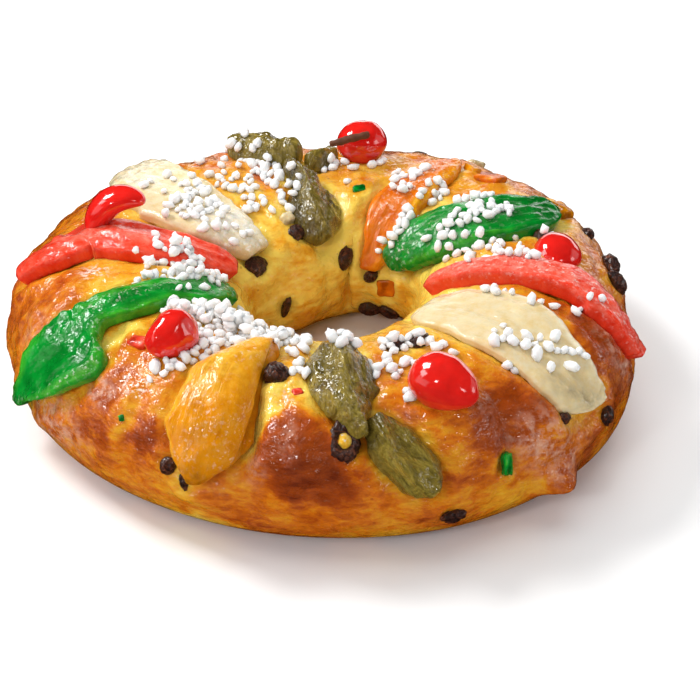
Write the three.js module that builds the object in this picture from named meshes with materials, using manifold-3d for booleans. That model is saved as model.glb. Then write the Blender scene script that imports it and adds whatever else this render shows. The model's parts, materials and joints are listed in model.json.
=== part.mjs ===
// Roscon de reyes: a ring of sweet yeast dough, baked with candied fruit laid over its crown.
// Millimetres and degrees, +Z up, standing on z = 0. The origin is under the middle of the whole.
//
// A place on the dough is given by two angles. "around" turns about the ring's axis from +X.
// "over" goes over the crown: 0 is the outer waist, 90 the top, 180 the inner waist, and from
// there under the ring back to 360.

import * as THREE from 'three';
import { mergeVertices } from 'three/addons/utils/BufferGeometryUtils.js';
import Module from 'manifold-3d';

const wasm = await Module();
wasm.setup();

// ---------------------------------------------------------------- driving dimensions

// The ring is uneven: each list goes once around it in equal steps, from +X towards +Y.
const OUTER_RADIUS = [115, 118, 119, 120, 123, 126, 122, 116, 111, 111, 116, 119];
const HOLE_RADIUS = [34, 37, 35, 24, 17, 22, 28, 31, 31, 32, 31, 31];
const CROWN_HEIGHT = [55, 55, 53, 53, 54, 55, 56, 55, 54, 53, 53, 54];
const RING_CENTRE = { x: 3.7, y: -3.1 };       // puts the origin under the middle of the whole

const WAIST = 0.42;            // height of the widest line, as a share of the crown's
const CROWN_FULLNESS = 0.95;   // powers that make the section a rounded dome
const SIDE_FULLNESS = 0.9;
const SKIRT_FULLNESS = 0.75;
const UNDERCUT = 0.8;
const SAG = 1.1;               // how far the dough would hang below z = 0 if nothing held it

// Rises (or, below zero, creases) of the dough: where, how far they spread, and how high.
const SWELLS = [
  { around: 197, over: 78, spreadAround: 7, spreadOver: 38, rise: 3.5 },    // left, between strips
  { around: 231, over: 62, spreadAround: 8, spreadOver: 30, rise: 2.5 },    // left of the orange segment
  { around: 255, over: 50, spreadAround: 2.8, spreadOver: 34, rise: -4.5 }, // valley beside the segment
  { around: 265, over: 38, spreadAround: 6, spreadOver: 26, rise: 4 },      // brown front swell
  { around: 281, over: 40, spreadAround: 5, spreadOver: 26, rise: -2 },     // bed of the front fruit
  { around: 297, over: 48, spreadAround: 7, spreadOver: 30, rise: 3 },      // front right swell
  { around: 304, over: 26, spreadAround: 2, spreadOver: 20, rise: -3 },     // fold beside the green cube
  { around: 312, over: 32, spreadAround: 5, spreadOver: 18, rise: 1.5 },
  { around: 312, over: -9, spreadAround: 4, spreadOver: 9, rise: 8 },       // knob near the foot
  { around: 331, over: 58, spreadAround: 6, spreadOver: 34, rise: 2.5 },    // right, between strips
  { around: 1, over: 104, spreadAround: 6, spreadOver: 30, rise: 2 },
  { around: 38, over: 70, spreadAround: 6, spreadOver: 26, rise: 2 },
  { around: 77, over: 116, spreadAround: 6, spreadOver: 24, rise: 2.5 },    // between fig and orange
  { around: 122, over: 98, spreadAround: 7, spreadOver: 30, rise: 2 },
  { around: 76, over: 176, spreadAround: 3, spreadOver: 34, rise: -4 },     // crease down the far inner wall
  { around: 102, over: 168, spreadAround: 14, spreadOver: 24, rise: 2 },
  { around: 52, over: 178, spreadAround: 11, spreadOver: 24, rise: 2 },
  { around: 66, over: 20, spreadAround: 14, spreadOver: 22, rise: 2 },
  { around: 92, over: 24, spreadAround: 5, spreadOver: 26, rise: -1.5 },
  { around: 124, over: 16, spreadAround: 13, spreadOver: 24, rise: 2 },
];

// Candied fruit slabs draped over the dough. Each line of stops is [over, around, width].
// "dome" is how much the top rounds off towards the sides: 0 a slab, 1 a half round. A straight
// slab's width is measured along "around"; the others' is square to their own line.
const STRIPS = [
  { name: 'strip_red_left', finish: 'candiedRed', thickness: 6, dome: 0.25,
    stops: [[36, 180.5, 7], [48, 180, 11], [60, 179.5, 17], [67, 178, 20], [74, 175.5, 25],
      [85, 175.5, 22], [100, 178.5, 21], [115, 179.5, 19], [130, 178, 15], [141, 174, 9]] },
  { name: 'strip_green_left', finish: 'candiedGreen', thickness: 4.5, dome: 0.2, straight: true,
    stops: [[-11, 199, 5], [0, 203, 10], [16, 207.5, 19], [30, 209.5, 29], [43, 211.7, 35],
      [50, 212, 34.5], [57, 211.2, 30], [62, 208.8, 20], [68, 207.6, 15.5], [78, 207.9, 14.5],
      [90, 208, 15], [102, 208.3, 14.5], [114, 209, 14.5], [130, 205, 14], [142, 202, 10]] },
  { name: 'strip_cream_back', finish: 'candiedMelon', thickness: 6, dome: 0.25,
    stops: [[42, 134, 14], [55, 137, 24], [70, 141, 31], [85, 145, 33], [100, 149, 33],
      [115, 151, 27], [128, 150, 20], [140, 148, 13]] },
  { name: 'strip_orange_back', finish: 'candiedOrange', thickness: 4.5, dome: 0.3,
    stops: [[72, 56, 9], [84, 55.5, 14], [95, 55.5, 15], [106, 56.5, 19], [118, 59, 22],
      [131, 59.5, 20], [146, 60, 14], [158, 60, 12], [167, 61, 9]] },
  { name: 'strip_green_right', finish: 'candiedGreen', thickness: 6.5, dome: 0.3,
    stops: [[68, 20.5, 13], [80, 19, 24], [95, 19, 30], [110, 20, 30], [125, 25, 27],
      [140, 35, 23], [151, 42.5, 17], [161, 48.5, 9]] },
  { name: 'strip_red_right', finish: 'candiedRed', thickness: 6.5, dome: 0.2,
    stops: [[19, 341, 5], [27, 340.7, 6.5], [37, 341, 9], [48, 342.4, 11.5], [60, 344.6, 14.5],
      [75, 346.7, 15.5], [90, 347.5, 14], [105, 347, 11], [120, 346.5, 10], [142, 350, 7]] },
  { name: 'strip_cream_right', finish: 'candiedMelon', thickness: 3.5, dome: 0.3,
    straight: true,
    stops: [[22.5, 323, 8], [26, 322.1, 15.5], [31, 321, 22], [38, 320.5, 25], [50, 320.5, 26],
      [62, 321, 28], [75, 322, 31.5], [90, 322.6, 32], [105, 322, 28], [118, 321, 23],
      [128, 321, 16]] },
  { name: 'orange_segment', finish: 'candiedAmber', thickness: 8.5, dome: 0.6, straight: true,
    stops: [[12, 248, 9], [22, 248.3, 19], [30, 248.4, 25], [39, 248.4, 31], [49, 248.1, 29],
      [60, 247.8, 26], [71, 247.8, 24], [81, 249, 18], [90, 251.5, 12], [96, 254.5, 6]] },
  { name: 'fig_front_lower', finish: 'candiedFig', thickness: 7.5, dome: 0.75,
    stops: [[56, 279.5, 9], [48, 281, 14], [40, 282.7, 17], [32, 284.3, 18], [24, 286, 17.5],
      [17, 287.4, 14], [12, 288.4, 8]] },
  { name: 'fig_front_upper', finish: 'candiedFig', thickness: 8, dome: 0.7,
    stops: [[44, 276.7, 7], [52, 276, 9], [58, 275.7, 14], [65, 275, 19], [72, 274.5, 23],
      [82, 274, 23], [92, 273.7, 21], [103, 273.5, 13]] },
  { name: 'fig_back_lower', finish: 'candiedFig', thickness: 8.5, dome: 0.75,
    stops: [[88, 103.5, 7], [96, 102, 8], [104, 99.5, 12], [113, 99.5, 19], [121, 98.5, 20.5],
      [130, 96.5, 20], [138, 94.5, 17], [144, 92.5, 9]] },
  { name: 'fig_back_left', finish: 'candiedFig', thickness: 11, dome: 0.65,
    stops: [[65, 116.5, 9], [70, 112.5, 13], [76, 107.5, 14], [81, 103, 12], [86, 99, 8]] },
  { name: 'fig_back_right', finish: 'candiedFig', thickness: 8, dome: 0.75,
    stops: [[89, 97.5, 7], [88, 94.5, 9], [86, 91, 8], [83, 88, 6]] },
];

// Glacé cherries, pressed into the dough before baking. "tall" is the height as a share of the
// width, "lift" is how far the middle stays above the skin, and the taper points along the
// surface at "turn" degrees, from "around" to "over". "bend" folds a cherry over, in degrees.
const CHERRIES = [
  { name: 'cherry_front_right', around: 294.7, over: 66.3, radius: 10.6, tall: 0.9, lift: 4.5,
    turn: -60, taper: 0.3, bend: 0 },
  { name: 'cherry_front_left', around: 231, over: 79.5, radius: 8.2, tall: 1.1, lift: 5.5, turn: -90,
    taper: 0.4, bend: 0 },
  { name: 'cherry_back_left', around: 170, over: 90, radius: 16.4, tall: 1, lift: 7.5, turn: 0,
    taper: 0, bend: 130 },
  { name: 'cherry_back', around: 80.3, over: 80, radius: 10, tall: 0.9, lift: 7, turn: 0,
    taper: 0.1, bend: 0 },
  { name: 'cherry_right', around: 1, over: 75, radius: 9.5, tall: 0.8, lift: -1.2, turn: 180,
    taper: 0.1, bend: 0 },
];

// A bent cherry is thick and broad at its foot and thinner at its tip. Shares of its radius,
// and how far back it leans, in radians.
const HOOK = { thick: 0.33, thinning: 0.05, broad: 0.5, narrowing: 0.1, drop: 0.4, lean: 0.7 };

// Raisins: around, over, then length, width and height, and how the length turns on the surface.
const RAISINS = [
  [155, 147, 11, 8, 5, 20], [143, 179, 9, 3, 4, 70], [113, 133, 9, 7, 6, 0],
  [79, 157, 9.5, 7, 6, 80], [63, 203, 9, 7, 6, 10], [50, 203, 9, 7, 5, -20],
  [258.7, 80, 8.6, 8.6, 10, 0], [242, 14, 6.5, 5.5, 5, 70], [245.3, 6, 6.5, 3, 3.4, 110],
  [292, 352, 9, 5, 5, 0], [6, 36, 10, 6, 8, 30], [0.5, 33, 10, 6, 7, 70],
  [8, 82, 9, 6, 5, 0], [292, 101, 9, 7, 6, 40], [300, 99, 10, 6, 5, 20],
  [325.5, 11, 7, 5, 5, 60], [70, 30, 9, 7, 5, 30], [116, 20, 8, 6, 5, 100],
];

// Candied dice: name, finish, around, over, length, width, height, turn.
const DICE = [
  ['dice_green_front', 'candiedGreen', 302, 16.5, 7.6, 4.6, 2.6, 75],
  ['dice_green_back', 'candiedGreen', 77, 112, 5, 4, 3.5, 10],
  ['dice_red_left', 'candiedRed', 223, 72, 8, 5, 4, 10],
  ['dice_melon_back', 'candiedMelon', 115.5, 124, 6, 5, 6, 15],
  ['dice_melon_far', 'candiedMelon', 54, 52, 7, 6, 5, 0],
  ['dice_amber_far', 'candiedAmber', 50, 72, 9, 5, 5, -30],
  ['dice_orange_far', 'candiedOrange', 42, 78, 14, 7, 4, 0],
  ['dice_orange_inner', 'candiedOrange', 48, 178, 8, 7, 3.4, 12],
  ['dice_amber_right', 'candiedAmber', 23, 58, 9, 7, 6, 20],
];

// A dried fruit lies opened out: a dark ring round an amber heart.
const DRIED_FRUIT = { around: 273.7, over: 43, ring: 3.6, tube: 1.9, stretch: 1.25 };

// A dry stalk leans on the back cherry: its stops are measured from that cherry's middle.
const STALK = {
  radius: 1.5, cherry: 'cherry_back', stops: [[-13.5, -11, 4.6], [-5.5, -10.8, 6.8], [2.7, -9.3, 8.4]],
};

const GAP = 0.4;               // between a draped slab and the dough, and round a pressed-in piece
const AROUND_STEPS = 52;
const CROWN_STEPS = 14;        // of the section above the skirt
const UNDER_STEPS = 5;
const CROWN_FROM = -22;        // the section's finer stretch, in degrees over
const CROWN_TO = 202;

const FINISH = {
  crust: { color: 0xc9772a, roughness: 0.35, metalness: 0 },
  candiedRed: { color: 0xd8281c, roughness: 0.3, metalness: 0 },
  candiedGreen: { color: 0x0c8a2c, roughness: 0.3, metalness: 0 },
  candiedMelon: { color: 0xead9a6, roughness: 0.4, metalness: 0 },
  candiedOrange: { color: 0xe8731c, roughness: 0.3, metalness: 0 },
  candiedAmber: { color: 0xe59a12, roughness: 0.3, metalness: 0 },
  candiedFig: { color: 0x7f7636, roughness: 0.35, metalness: 0 },
  cherry: { color: 0xcf1620, roughness: 0.15, metalness: 0 },
  raisin: { color: 0x2c1510, roughness: 0.5, metalness: 0 },
  stalk: { color: 0x5a2f1a, roughness: 0.6, metalness: 0 },
};

// ---------------------------------------------------------------- the dough's surface

const { degToRad } = THREE.MathUtils;
const FULL_TURN = 360;

// A smooth closed curve through equally spaced values, read at an angle in degrees.
function atAngle(values, degrees) {
  const count = values.length;
  const place = THREE.MathUtils.euclideanModulo(degrees, FULL_TURN) / FULL_TURN * count;
  const step = Math.floor(place);
  const part = place - step;
  const [before, start, end, after] = [-1, 0, 1, 2].map((k) => values[(step + k + count) % count]);
  const bend = 2 * before - 5 * start + 4 * end - after;
  const curl = 3 * (start - end) + after - before;
  return start + 0.5 * part * (end - before + part * (bend + part * curl));
}

function power(value, exponent) {
  return Math.sign(value) * Math.abs(value) ** exponent;
}

function angleBetween(a, b) {
  return THREE.MathUtils.euclideanModulo(a - b + FULL_TURN / 2, FULL_TURN) - FULL_TURN / 2;
}

function swellAt(around, over) {
  return SWELLS.reduce((sum, swell) => {
    const a = angleBetween(around, swell.around) / swell.spreadAround;
    const o = angleBetween(over, swell.over) / swell.spreadOver;
    return sum + swell.rise * Math.exp(-(a * a + o * o));
  }, 0);
}

// The point of the dough's skin at two angles.
function doughSkin(around, over) {
  const outer = atAngle(OUTER_RADIUS, around);
  const hole = atAngle(HOLE_RADIUS, around);
  const crown = atAngle(CROWN_HEIGHT, around);
  const waist = crown * WAIST;
  const cos = Math.cos(degToRad(over));
  const sin = Math.sin(degToRad(over));
  const swell = swellAt(around, over);
  const above = sin >= 0;
  const across = power(cos, above ? SIDE_FULLNESS : SKIRT_FULLNESS);
  const climb = above
    ? waist + (crown - waist) * sin ** CROWN_FULLNESS
    : waist - waist * SAG * (-sin) ** UNDERCUT;
  const radius = (outer + hole) / 2 + across * (outer - hole) / 2 + swell * cos;
  const height = Math.max(climb + swell * Math.max(sin, 0), 0);
  return new THREE.Vector3(
    RING_CENTRE.x + radius * Math.cos(degToRad(around)),
    RING_CENTRE.y + radius * Math.sin(degToRad(around)),
    height,
  );
}

// Directions at a place on the skin: along "around", along "over", and straight out of it,
// with the millimetres that one degree covers each way.
function skinFrame(around, over) {
  const nudge = 0.5;
  const along = doughSkin(around + nudge, over).sub(doughSkin(around - nudge, over));
  const up = doughSkin(around, over + nudge).sub(doughSkin(around, over - nudge));
  const aroundPace = along.length() / (2 * nudge);
  const overPace = up.length() / (2 * nudge);
  const out = new THREE.Vector3().crossVectors(along, up).normalize();
  return { along: along.normalize(), up: up.normalize(), out, aroundPace, overPace };
}

function lifted(around, over, lift) {
  if (lift === 0) return doughSkin(around, over);
  return doughSkin(around, over).addScaledVector(skinFrame(around, over).out, lift);
}

// ---------------------------------------------------------------- geometry helpers

// Moves every vertex of a geometry to the place that a function gives for it.
function reshape(geometry, place) {
  const position = geometry.attributes.position;
  const point = new THREE.Vector3();
  for (let i = 0; i < position.count; i += 1) {
    point.fromBufferAttribute(position, i);
    const moved = place(point, i);
    position.setXYZ(i, moved.x, moved.y, moved.z);
  }
  return geometry;
}

function toSolid(geometry) {
  const bare = geometry.index ? geometry.clone() : geometry;
  bare.deleteAttribute('normal');
  bare.deleteAttribute('uv');
  const merged = mergeVertices(bare, 1e-4);
  const mesh = new wasm.Mesh({
    numProp: 3,
    vertProperties: new Float32Array(merged.attributes.position.array),
    triVerts: new Uint32Array(merged.index.array),
  });
  mesh.merge();
  return new wasm.Manifold(mesh);
}

// The largest body of a solid: crumbs that a cut leaves are dropped.
function toGeometry(solid) {
  const [body] = solid.decompose().sort((a, b) => b.volume() - a.volume());
  const mesh = body.getMesh();
  const geometry = new THREE.BufferGeometry();
  geometry.setAttribute('position', new THREE.BufferAttribute(mesh.vertProperties, 3));
  geometry.setIndex(new THREE.BufferAttribute(mesh.triVerts, 1));
  return geometry;
}

// ---------------------------------------------------------------- the pieces

function doughGeometry(lift = 0) {
  const steps = CROWN_STEPS + UNDER_STEPS;
  const torus = new THREE.TorusGeometry(2, 1, steps, AROUND_STEPS);
  const uv = torus.attributes.uv;
  return reshape(torus, (point, i) => {
    const step = Math.round(uv.getY(i) * steps);
    const crownPart = step / CROWN_STEPS;
    const underPart = (step - CROWN_STEPS) / UNDER_STEPS;
    const over = step <= CROWN_STEPS
      ? THREE.MathUtils.lerp(CROWN_FROM, CROWN_TO, crownPart)
      : THREE.MathUtils.lerp(CROWN_TO, CROWN_FROM + FULL_TURN, underPart);
    return lifted(uv.getX(i) * FULL_TURN, over % FULL_TURN, lift);
  });
}

// A slab draped along its stops. "grow" makes the larger copy that cuts room for it.
function stripGeometry({ stops, thickness, dome, straight = false }, grow = 0) {
  const line = new THREE.CatmullRomCurve3(
    stops.map(([over, around, width]) => new THREE.Vector3(over, around, width)),
    false,
    'catmullrom',
  );
  const slab = new THREE.BoxGeometry(1, 1, 1, stops.length - 1, dome > 0.5 ? 4 : 3, 1);
  return reshape(slab, (point) => {
    const part = point.x + 0.5;
    const middle = line.getPoint(part);
    const heading = line.getTangent(part);
    const frame = skinFrame(middle.y, middle.x);
    const aside = straight ? 0 : heading.y * frame.aroundPace;
    const ahead = new THREE.Vector2(aside, heading.x * frame.overPace).normalize();
    const side = point.y * (middle.z + 2 * grow);
    const end = Math.abs(point.x) === 0.5 ? Math.sign(point.x) * grow : 0;
    const around = middle.y + (ahead.x * end - ahead.y * side) / frame.aroundPace;
    const over = middle.x + (ahead.y * end + ahead.x * side) / frame.overPace;
    const round = 1 - dome * Math.abs(2 * point.y) ** 2.4;
    const endRound = 1 - dome * Math.abs(2 * point.x) ** 8;
    const top = GAP + thickness * Math.max(round, 0.25) * endRound + grow;
    return lifted(around, over, point.z > 0 ? top : -grow);
  });
}

// A rounded body of unit size set on the skin: half sizes along, up and out, turned on the
// surface, with its middle lifted off the skin.
function settle(geometry, { around, over, size, turn = 0, centre = 0 }) {
  const frame = skinFrame(around, over);
  const place = new THREE.Matrix4().makeBasis(frame.along, frame.up, frame.out);
  place.setPosition(lifted(around, over, centre));
  place.multiply(new THREE.Matrix4().makeRotationZ(degToRad(turn)));
  place.multiply(new THREE.Matrix4().makeScale(...size));
  return geometry.applyMatrix4(place);
}

// Folds a ball's Y over into a hook. "slack" thickens it on every side.
function bentOver(point, bend, slack) {
  const half = degToRad(bend) / 2;
  const lean = point.y * (1 + slack) * half - HOOK.lean;
  const reach = 1 / half + point.z * (HOOK.thick - HOOK.thinning * point.y + slack);
  const side = point.x * (HOOK.broad - HOOK.narrowing * point.y + slack);
  return new THREE.Vector3(side, reach * Math.sin(lean), reach * Math.cos(lean) - HOOK.drop);
}

function cherryGeometry({ around, over, radius, tall, lift, turn, taper, bend }, grow = 0) {
  const ball = new THREE.SphereGeometry(1, 11, 7);
  reshape(ball, (point) => point.clone().setX(point.x * (1 + taper * Math.max(point.x, 0) ** 2)));
  if (bend > 0) reshape(ball, (point) => bentOver(point.clone(), bend, grow / radius));
  const spread = bend > 0 ? 0 : grow;
  const size = [radius + spread, radius * 0.96 + spread, radius * tall + spread];
  return settle(ball, { around, over, size, turn, centre: lift });
}

function raisinGeometry([around, over, length, width, height, turn], grow = 0) {
  const size = [length, width, height].map((full) => full / 2 + grow);
  return settle(new THREE.SphereGeometry(1, 7, 4), { around, over, size, turn, centre: height * 0.12 });
}

function diceGeometry([, , around, over, length, width, height, turn], grow = 0) {
  const size = [length, width, height].map((full) => full + 2 * grow);
  return settle(new THREE.BoxGeometry(), { around, over, size, turn, centre: height * 0.15 });
}

function driedFruitRing(grow = 0) {
  const { around, over, ring, tube, stretch } = DRIED_FRUIT;
  const torus = new THREE.TorusGeometry(ring, tube + grow, 6, 10);
  return settle(torus, { around, over, size: [1, stretch, 1], centre: tube * 0.5 });
}

function driedFruitCentre(grow = 0) {
  const { around, over, ring, tube, stretch } = DRIED_FRUIT;
  const reach = ring - tube - GAP + grow;
  const size = [reach, reach * stretch, 2 + grow];
  return settle(new THREE.SphereGeometry(1, 7, 4), { around, over, size, centre: tube * 0.6 });
}

function stalkGeometry(grow = 0) {
  const { around, over, lift } = CHERRIES.find(({ name }) => name === STALK.cherry);
  const middle = lifted(around, over, lift);
  const path = new THREE.CatmullRomCurve3(
    STALK.stops.map(([x, y, z]) => new THREE.Vector3(x, y, z).add(middle)),
  );
  const round = new THREE.Shape().absarc(0, 0, STALK.radius + grow, 0, 2 * Math.PI);
  return new THREE.ExtrudeGeometry(round, {
    steps: 5, curveSegments: 4, bevelEnabled: false, extrudePath: path,
  });
}

// ---------------------------------------------------------------- assembly

// Every piece, from the dough upwards: a piece gives way to those that come after it, except
// that draped slabs give way to the dough, and cut nothing out of it.
const PIECES = [
  { name: 'dough', finish: 'crust', make: doughGeometry },
  ...STRIPS.map((strip) => ({
    name: strip.name, finish: strip.finish, draped: true, make: (grow) => stripGeometry(strip, grow),
  })),
  ...DICE.map((dice) => ({ name: dice[0], finish: dice[1], make: (grow) => diceGeometry(dice, grow) })),
  ...RAISINS.map((raisin, i) => ({
    name: `raisin_${String(i + 1).padStart(2, '0')}`,
    finish: 'raisin',
    make: (grow) => raisinGeometry(raisin, grow),
  })),
  { name: 'dried_fruit_ring', finish: 'raisin', make: driedFruitRing },
  { name: 'dried_fruit_centre', finish: 'candiedAmber', make: driedFruitCentre },
  ...CHERRIES.map((cherry) => ({
    name: cherry.name, finish: 'cherry', make: (grow) => cherryGeometry(cherry, grow),
  })),
  { name: 'stalk', finish: 'stalk', make: stalkGeometry },
];

function assemble() {
  const ring = new THREE.Group();
  const solids = PIECES.map((piece) => toSolid(piece.make(0)));
  const rooms = PIECES.map((piece) => toSolid(piece.make(GAP)));
  PIECES.forEach((piece, i) => {
    let solid = piece.draped ? solids[i].subtract(rooms[0]) : solids[i];
    for (let above = i + 1; above < PIECES.length; above += 1) {
      const clearAlready = i === 0 && PIECES[above].draped;
      if (!clearAlready) solid = solid.subtract(rooms[above]);
    }
    const material = new THREE.MeshStandardMaterial(FINISH[piece.finish]);
    const mesh = new THREE.Mesh(toGeometry(solid), material);
    mesh.name = piece.name;
    ring.add(mesh);
  });
  return ring;
}

export default assemble();
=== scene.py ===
"""Roscon de reyes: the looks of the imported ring, laid out as a Blender add-on and run as a script.

Sizes in the tables are millimetres and degrees. A place on the dough is given by two angles:
"around" turns about the ring's axis from +X, and "over" goes over the crown, with 0 at the outer
waist, 90 at the top and 180 at the inner waist.
"""

import json
import math
import random
from functools import partial

import bmesh
import bpy
import numpy as np
from bpy.props import FloatProperty, FloatVectorProperty, IntProperty, PointerProperty
from mathutils import Matrix, Vector, noise
from mathutils.bvhtree import BVHTree

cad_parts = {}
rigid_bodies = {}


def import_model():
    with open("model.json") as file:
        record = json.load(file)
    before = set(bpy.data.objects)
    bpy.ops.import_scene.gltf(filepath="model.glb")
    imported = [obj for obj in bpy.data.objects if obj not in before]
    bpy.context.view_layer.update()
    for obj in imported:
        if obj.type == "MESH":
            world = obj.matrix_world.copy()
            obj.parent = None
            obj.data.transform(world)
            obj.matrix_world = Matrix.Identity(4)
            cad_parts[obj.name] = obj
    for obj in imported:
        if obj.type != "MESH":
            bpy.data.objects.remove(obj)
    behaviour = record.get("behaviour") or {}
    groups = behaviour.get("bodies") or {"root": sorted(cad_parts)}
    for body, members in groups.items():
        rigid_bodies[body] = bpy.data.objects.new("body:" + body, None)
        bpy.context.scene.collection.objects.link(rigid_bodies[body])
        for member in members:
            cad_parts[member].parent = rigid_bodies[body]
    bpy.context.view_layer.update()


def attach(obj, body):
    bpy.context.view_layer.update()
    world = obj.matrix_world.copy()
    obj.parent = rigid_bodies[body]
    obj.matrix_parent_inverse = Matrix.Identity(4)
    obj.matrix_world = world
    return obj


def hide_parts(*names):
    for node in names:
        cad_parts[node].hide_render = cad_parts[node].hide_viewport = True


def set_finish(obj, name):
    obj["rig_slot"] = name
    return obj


bl_info = {
    "name": "Roscon de Reyes",
    "version": (1, 0, 0),
    "blender": (4, 5, 0),
    "location": "View3D > Sidebar > Roscon",
    "description": "Builds a baked ring with candied fruit, cherries, raisins and pearl sugar",
    "category": "Add Mesh",
}

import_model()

MM = 0.001
FULL_TURN = 360.0

# ------------------------------------------------------------------ the dough's named sizes
# Each list goes once around the ring in equal steps, from +X towards +Y, as the frame's ring does.

OUTER_RADIUS = (115, 118, 119, 120, 123, 126, 122, 116, 111, 111, 116, 119)
HOLE_RADIUS = (34, 37, 35, 24, 17, 22, 28, 31, 31, 32, 31, 31)
CROWN_HEIGHT = (55, 55, 53, 53, 54, 55, 56, 55, 54, 53, 53, 54)
RING_CENTRE = (3.7, -3.1)
WAIST = 0.42             # height of the widest place, as a share of the crown's
CROWN_FULLNESS = 0.95    # powers that shape the section; below 1 is fuller than a circle
SIDE_FULLNESS = 0.9
SKIRT_FULLNESS = 0.75
UNDERCUT = 0.8
SAG = 1.1                # how far the skirt would sink past the table, which flattens it

# around, over, spread around, spread over (degrees), rise (mm)
SWELLS = (
    (197, 78, 7, 38, 3.5), (231, 62, 8, 30, 2.5), (255, 50, 2.8, 34, -4.5), (265, 38, 6, 26, 4),
    (281, 40, 5, 26, -2), (297, 48, 7, 30, 3), (304, 26, 2, 20, -3), (312, 32, 5, 18, 1.5),
    (312, -9, 4, 9, 8), (331, 58, 6, 34, 2.5), (1, 104, 6, 30, 2), (38, 70, 6, 26, 2),
    (77, 116, 6, 24, 2.5), (122, 98, 7, 30, 2), (76, 176, 3, 34, -4), (102, 168, 14, 24, 2),
    (52, 178, 11, 24, 2), (66, 20, 14, 22, 2), (92, 24, 5, 26, -1.5), (124, 16, 13, 24, 2),
)

# How deeply the crust is baked by height over the section: 0 is pale crumb, 1 the darkest brown.
BAKE_OVER = (-90, -60, -40, -25, -12, 0, 15, 30, 50, 70, 90, 110, 140, 170, 200, 235, 270)
BAKE_DEPTH = (.5, .66, .58, .52, .52, .55, .58, .58, .54, .47, .38, .28, .2, .19, .26, .4, .5)

# Darker and paler patches: around, over, spreads (degrees), depth, crispness of the edge
BAKE_PATCHES = (
    (266, 36, 7.5, 26, .28, 4), (268, 13, 8, 9, .18, 2.5), (258, 60, 3.6, 17, -.3, 2),
    (254.5, 36, 3, 14, -.22, 1), (306, 46, 9, 19, .15, 1.5), (299, 36, 5, 14, .12, 1),
    (291, 34, 3, 12, -.14, 1), (338, 45, 9, 30, .3, 1.5), (318, 14, 8, 11, .1, 1),
    (305, -6, 9, 7, -.16, 1), (314, 350, 5, 10, .16, 1.5), (223, 40, 6, 15, .1, 1.5),
    (226, 14, 5, 7, .18, 2), (236, 24, 2.6, 9, .3, 2), (231, 33, 2, 18, -.2, 1),
    (213, 9, 9, 12, .1, 1), (214, 28, 4, 9, -.1, 1), (193, 62, 8, 26, .05, 1),
    (187, 25, 9, 16, .02, 1.5), (216, 70, 4, 12, -.3, 1.5), (113, 92, 4, 9, .26, 1.5),
    (84, 99, 4, 9, .16, 1), (176, 155, 5, 14, .14, 1.5), (20, 60, 12, 18, -.04, 1),
    (302, 20, 2.8, 9, -.34, 1.5), (246, -30, 9, 12, -.4, 1.5), (228, -30, 5, 8, -.16, 1),
    (285, -28, 10, 11, -.28, 1), (246, 96, 9, 9, -.1, 1), (312, -8, 3.6, 8, .04, 2),
    (121, 100, 5, 9, -.15, 1), (328, 12, 9, 14, .14, 1.5), (268, 58, 3, 9, -.1, 1),
    (55, 165, 14, 20, -.17, 1), (30, 138, 12, 22, -.2, 1), (77, 107, 3, 7, .2, 1),
)

# Painted sheen: pale pinkish patches that stand in for soft reflections on the wet glaze: around,
# over, spreads (degrees), strength, crispness of the edge
PAINTED_SHEEN_PATCHES = (
    (224, 39, 3.6, 7, 1.2, 2), (309, 26, 5, 14, .8, 1.5), (214, 4, 9, 15, .9, 1.5),
    (198, 38, 5, 14, .4, 1.5), (258, 25, 2, 10, .6, 1), (264, 43, 1.6, 8, .5, 1),
    (337, 32, 4, 20, .8, 1.5), (18, 45, 14, 18, .5, 1.5), (313, 10, 6, 14, .8, 1.5),
)

# Painted glints: white specks that stand in for highlights on the wet glaze: around, over, spreads
# # (degrees), strength, crispness of the edge
GLINT_PATCHES = (
    (230.5, 52, 3.2, 6, 1.1, 1.5), (191, 78, 4, 6.5, 1, 1.5), (262, 66, 2, 8, .4, 1),
    (300, 58, 3, 6, .3, 1), (20, 48, 8, 14, .4, 1),
)

# Small folds of the crust: around, over, spreads (degrees), rise (mm), crispness of the edge
CRUST_FOLDS = (
    (265.5, 42, 7.5, 25, 1.2, 3), (304.5, 38, .9, 14, -1.4, 1), (308.5, 24, 1, 9, -1.1, 1),
    (311, 7, 4, 2, -1.4, 1), (306.8, -7, 1.1, 7, -1.8, 1), (316, 20, 1, 10, -.8, 1),
    (236, 24, 2.6, 9, .8, 1.5), (232.5, 34, 1.2, 20, -1.2, 1), (228, 30, 4, 16, .8, 1),
    (198, 84, 1.2, 12, -.9, 1), (190, 60, 6, 2, -.6, 1), (334, 60, 1.2, 20, -.8, 1),
    (300, 66, 2, 3, -.9, 1), (302, 17, 2.6, 7, -1.3, 2), (299.4, 20, .7, 8, 1, 1),
    (305, 22, .7, 9, .9, 1), (76, 186, 2, 22, -1.6, 1), (222, 56, 5, 2.4, -.7, 1),
    (244, 4, 8, 2, -.6, 1),
)

# How the dough gives way and rises at the fruit (mm)
BED_DEPTH = 1.3                # under a slab
BED_WALL = (1.5, -2.5)         # where the bed starts and is deepest, from the slab's edge
SLAB_PUFF = (1.0, 4.5, 3.0)    # beside a slab: rise, its distance from the edge, spread
ROUND_PUFF = (0.8, 2.5, 2.0)   # beside a round piece
SLAB_SHELTER = (0.24, 3.5)     # how much paler the crust bakes beside a slab, and how far (mm)
ROUND_SHELTER = (0.08, 2.5)
OUTER_SKIRT_FADE = (-22, -4)   # the folds fade out between these places over the section (degrees)
INNER_SKIRT_FADE = (212, 196)
SPIN_RADIUS = 2                # of the plain ring of tube radius 1 that the dough is spun as
FAR_AWAY = 99.0                # mm, more than any distance that matters
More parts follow.
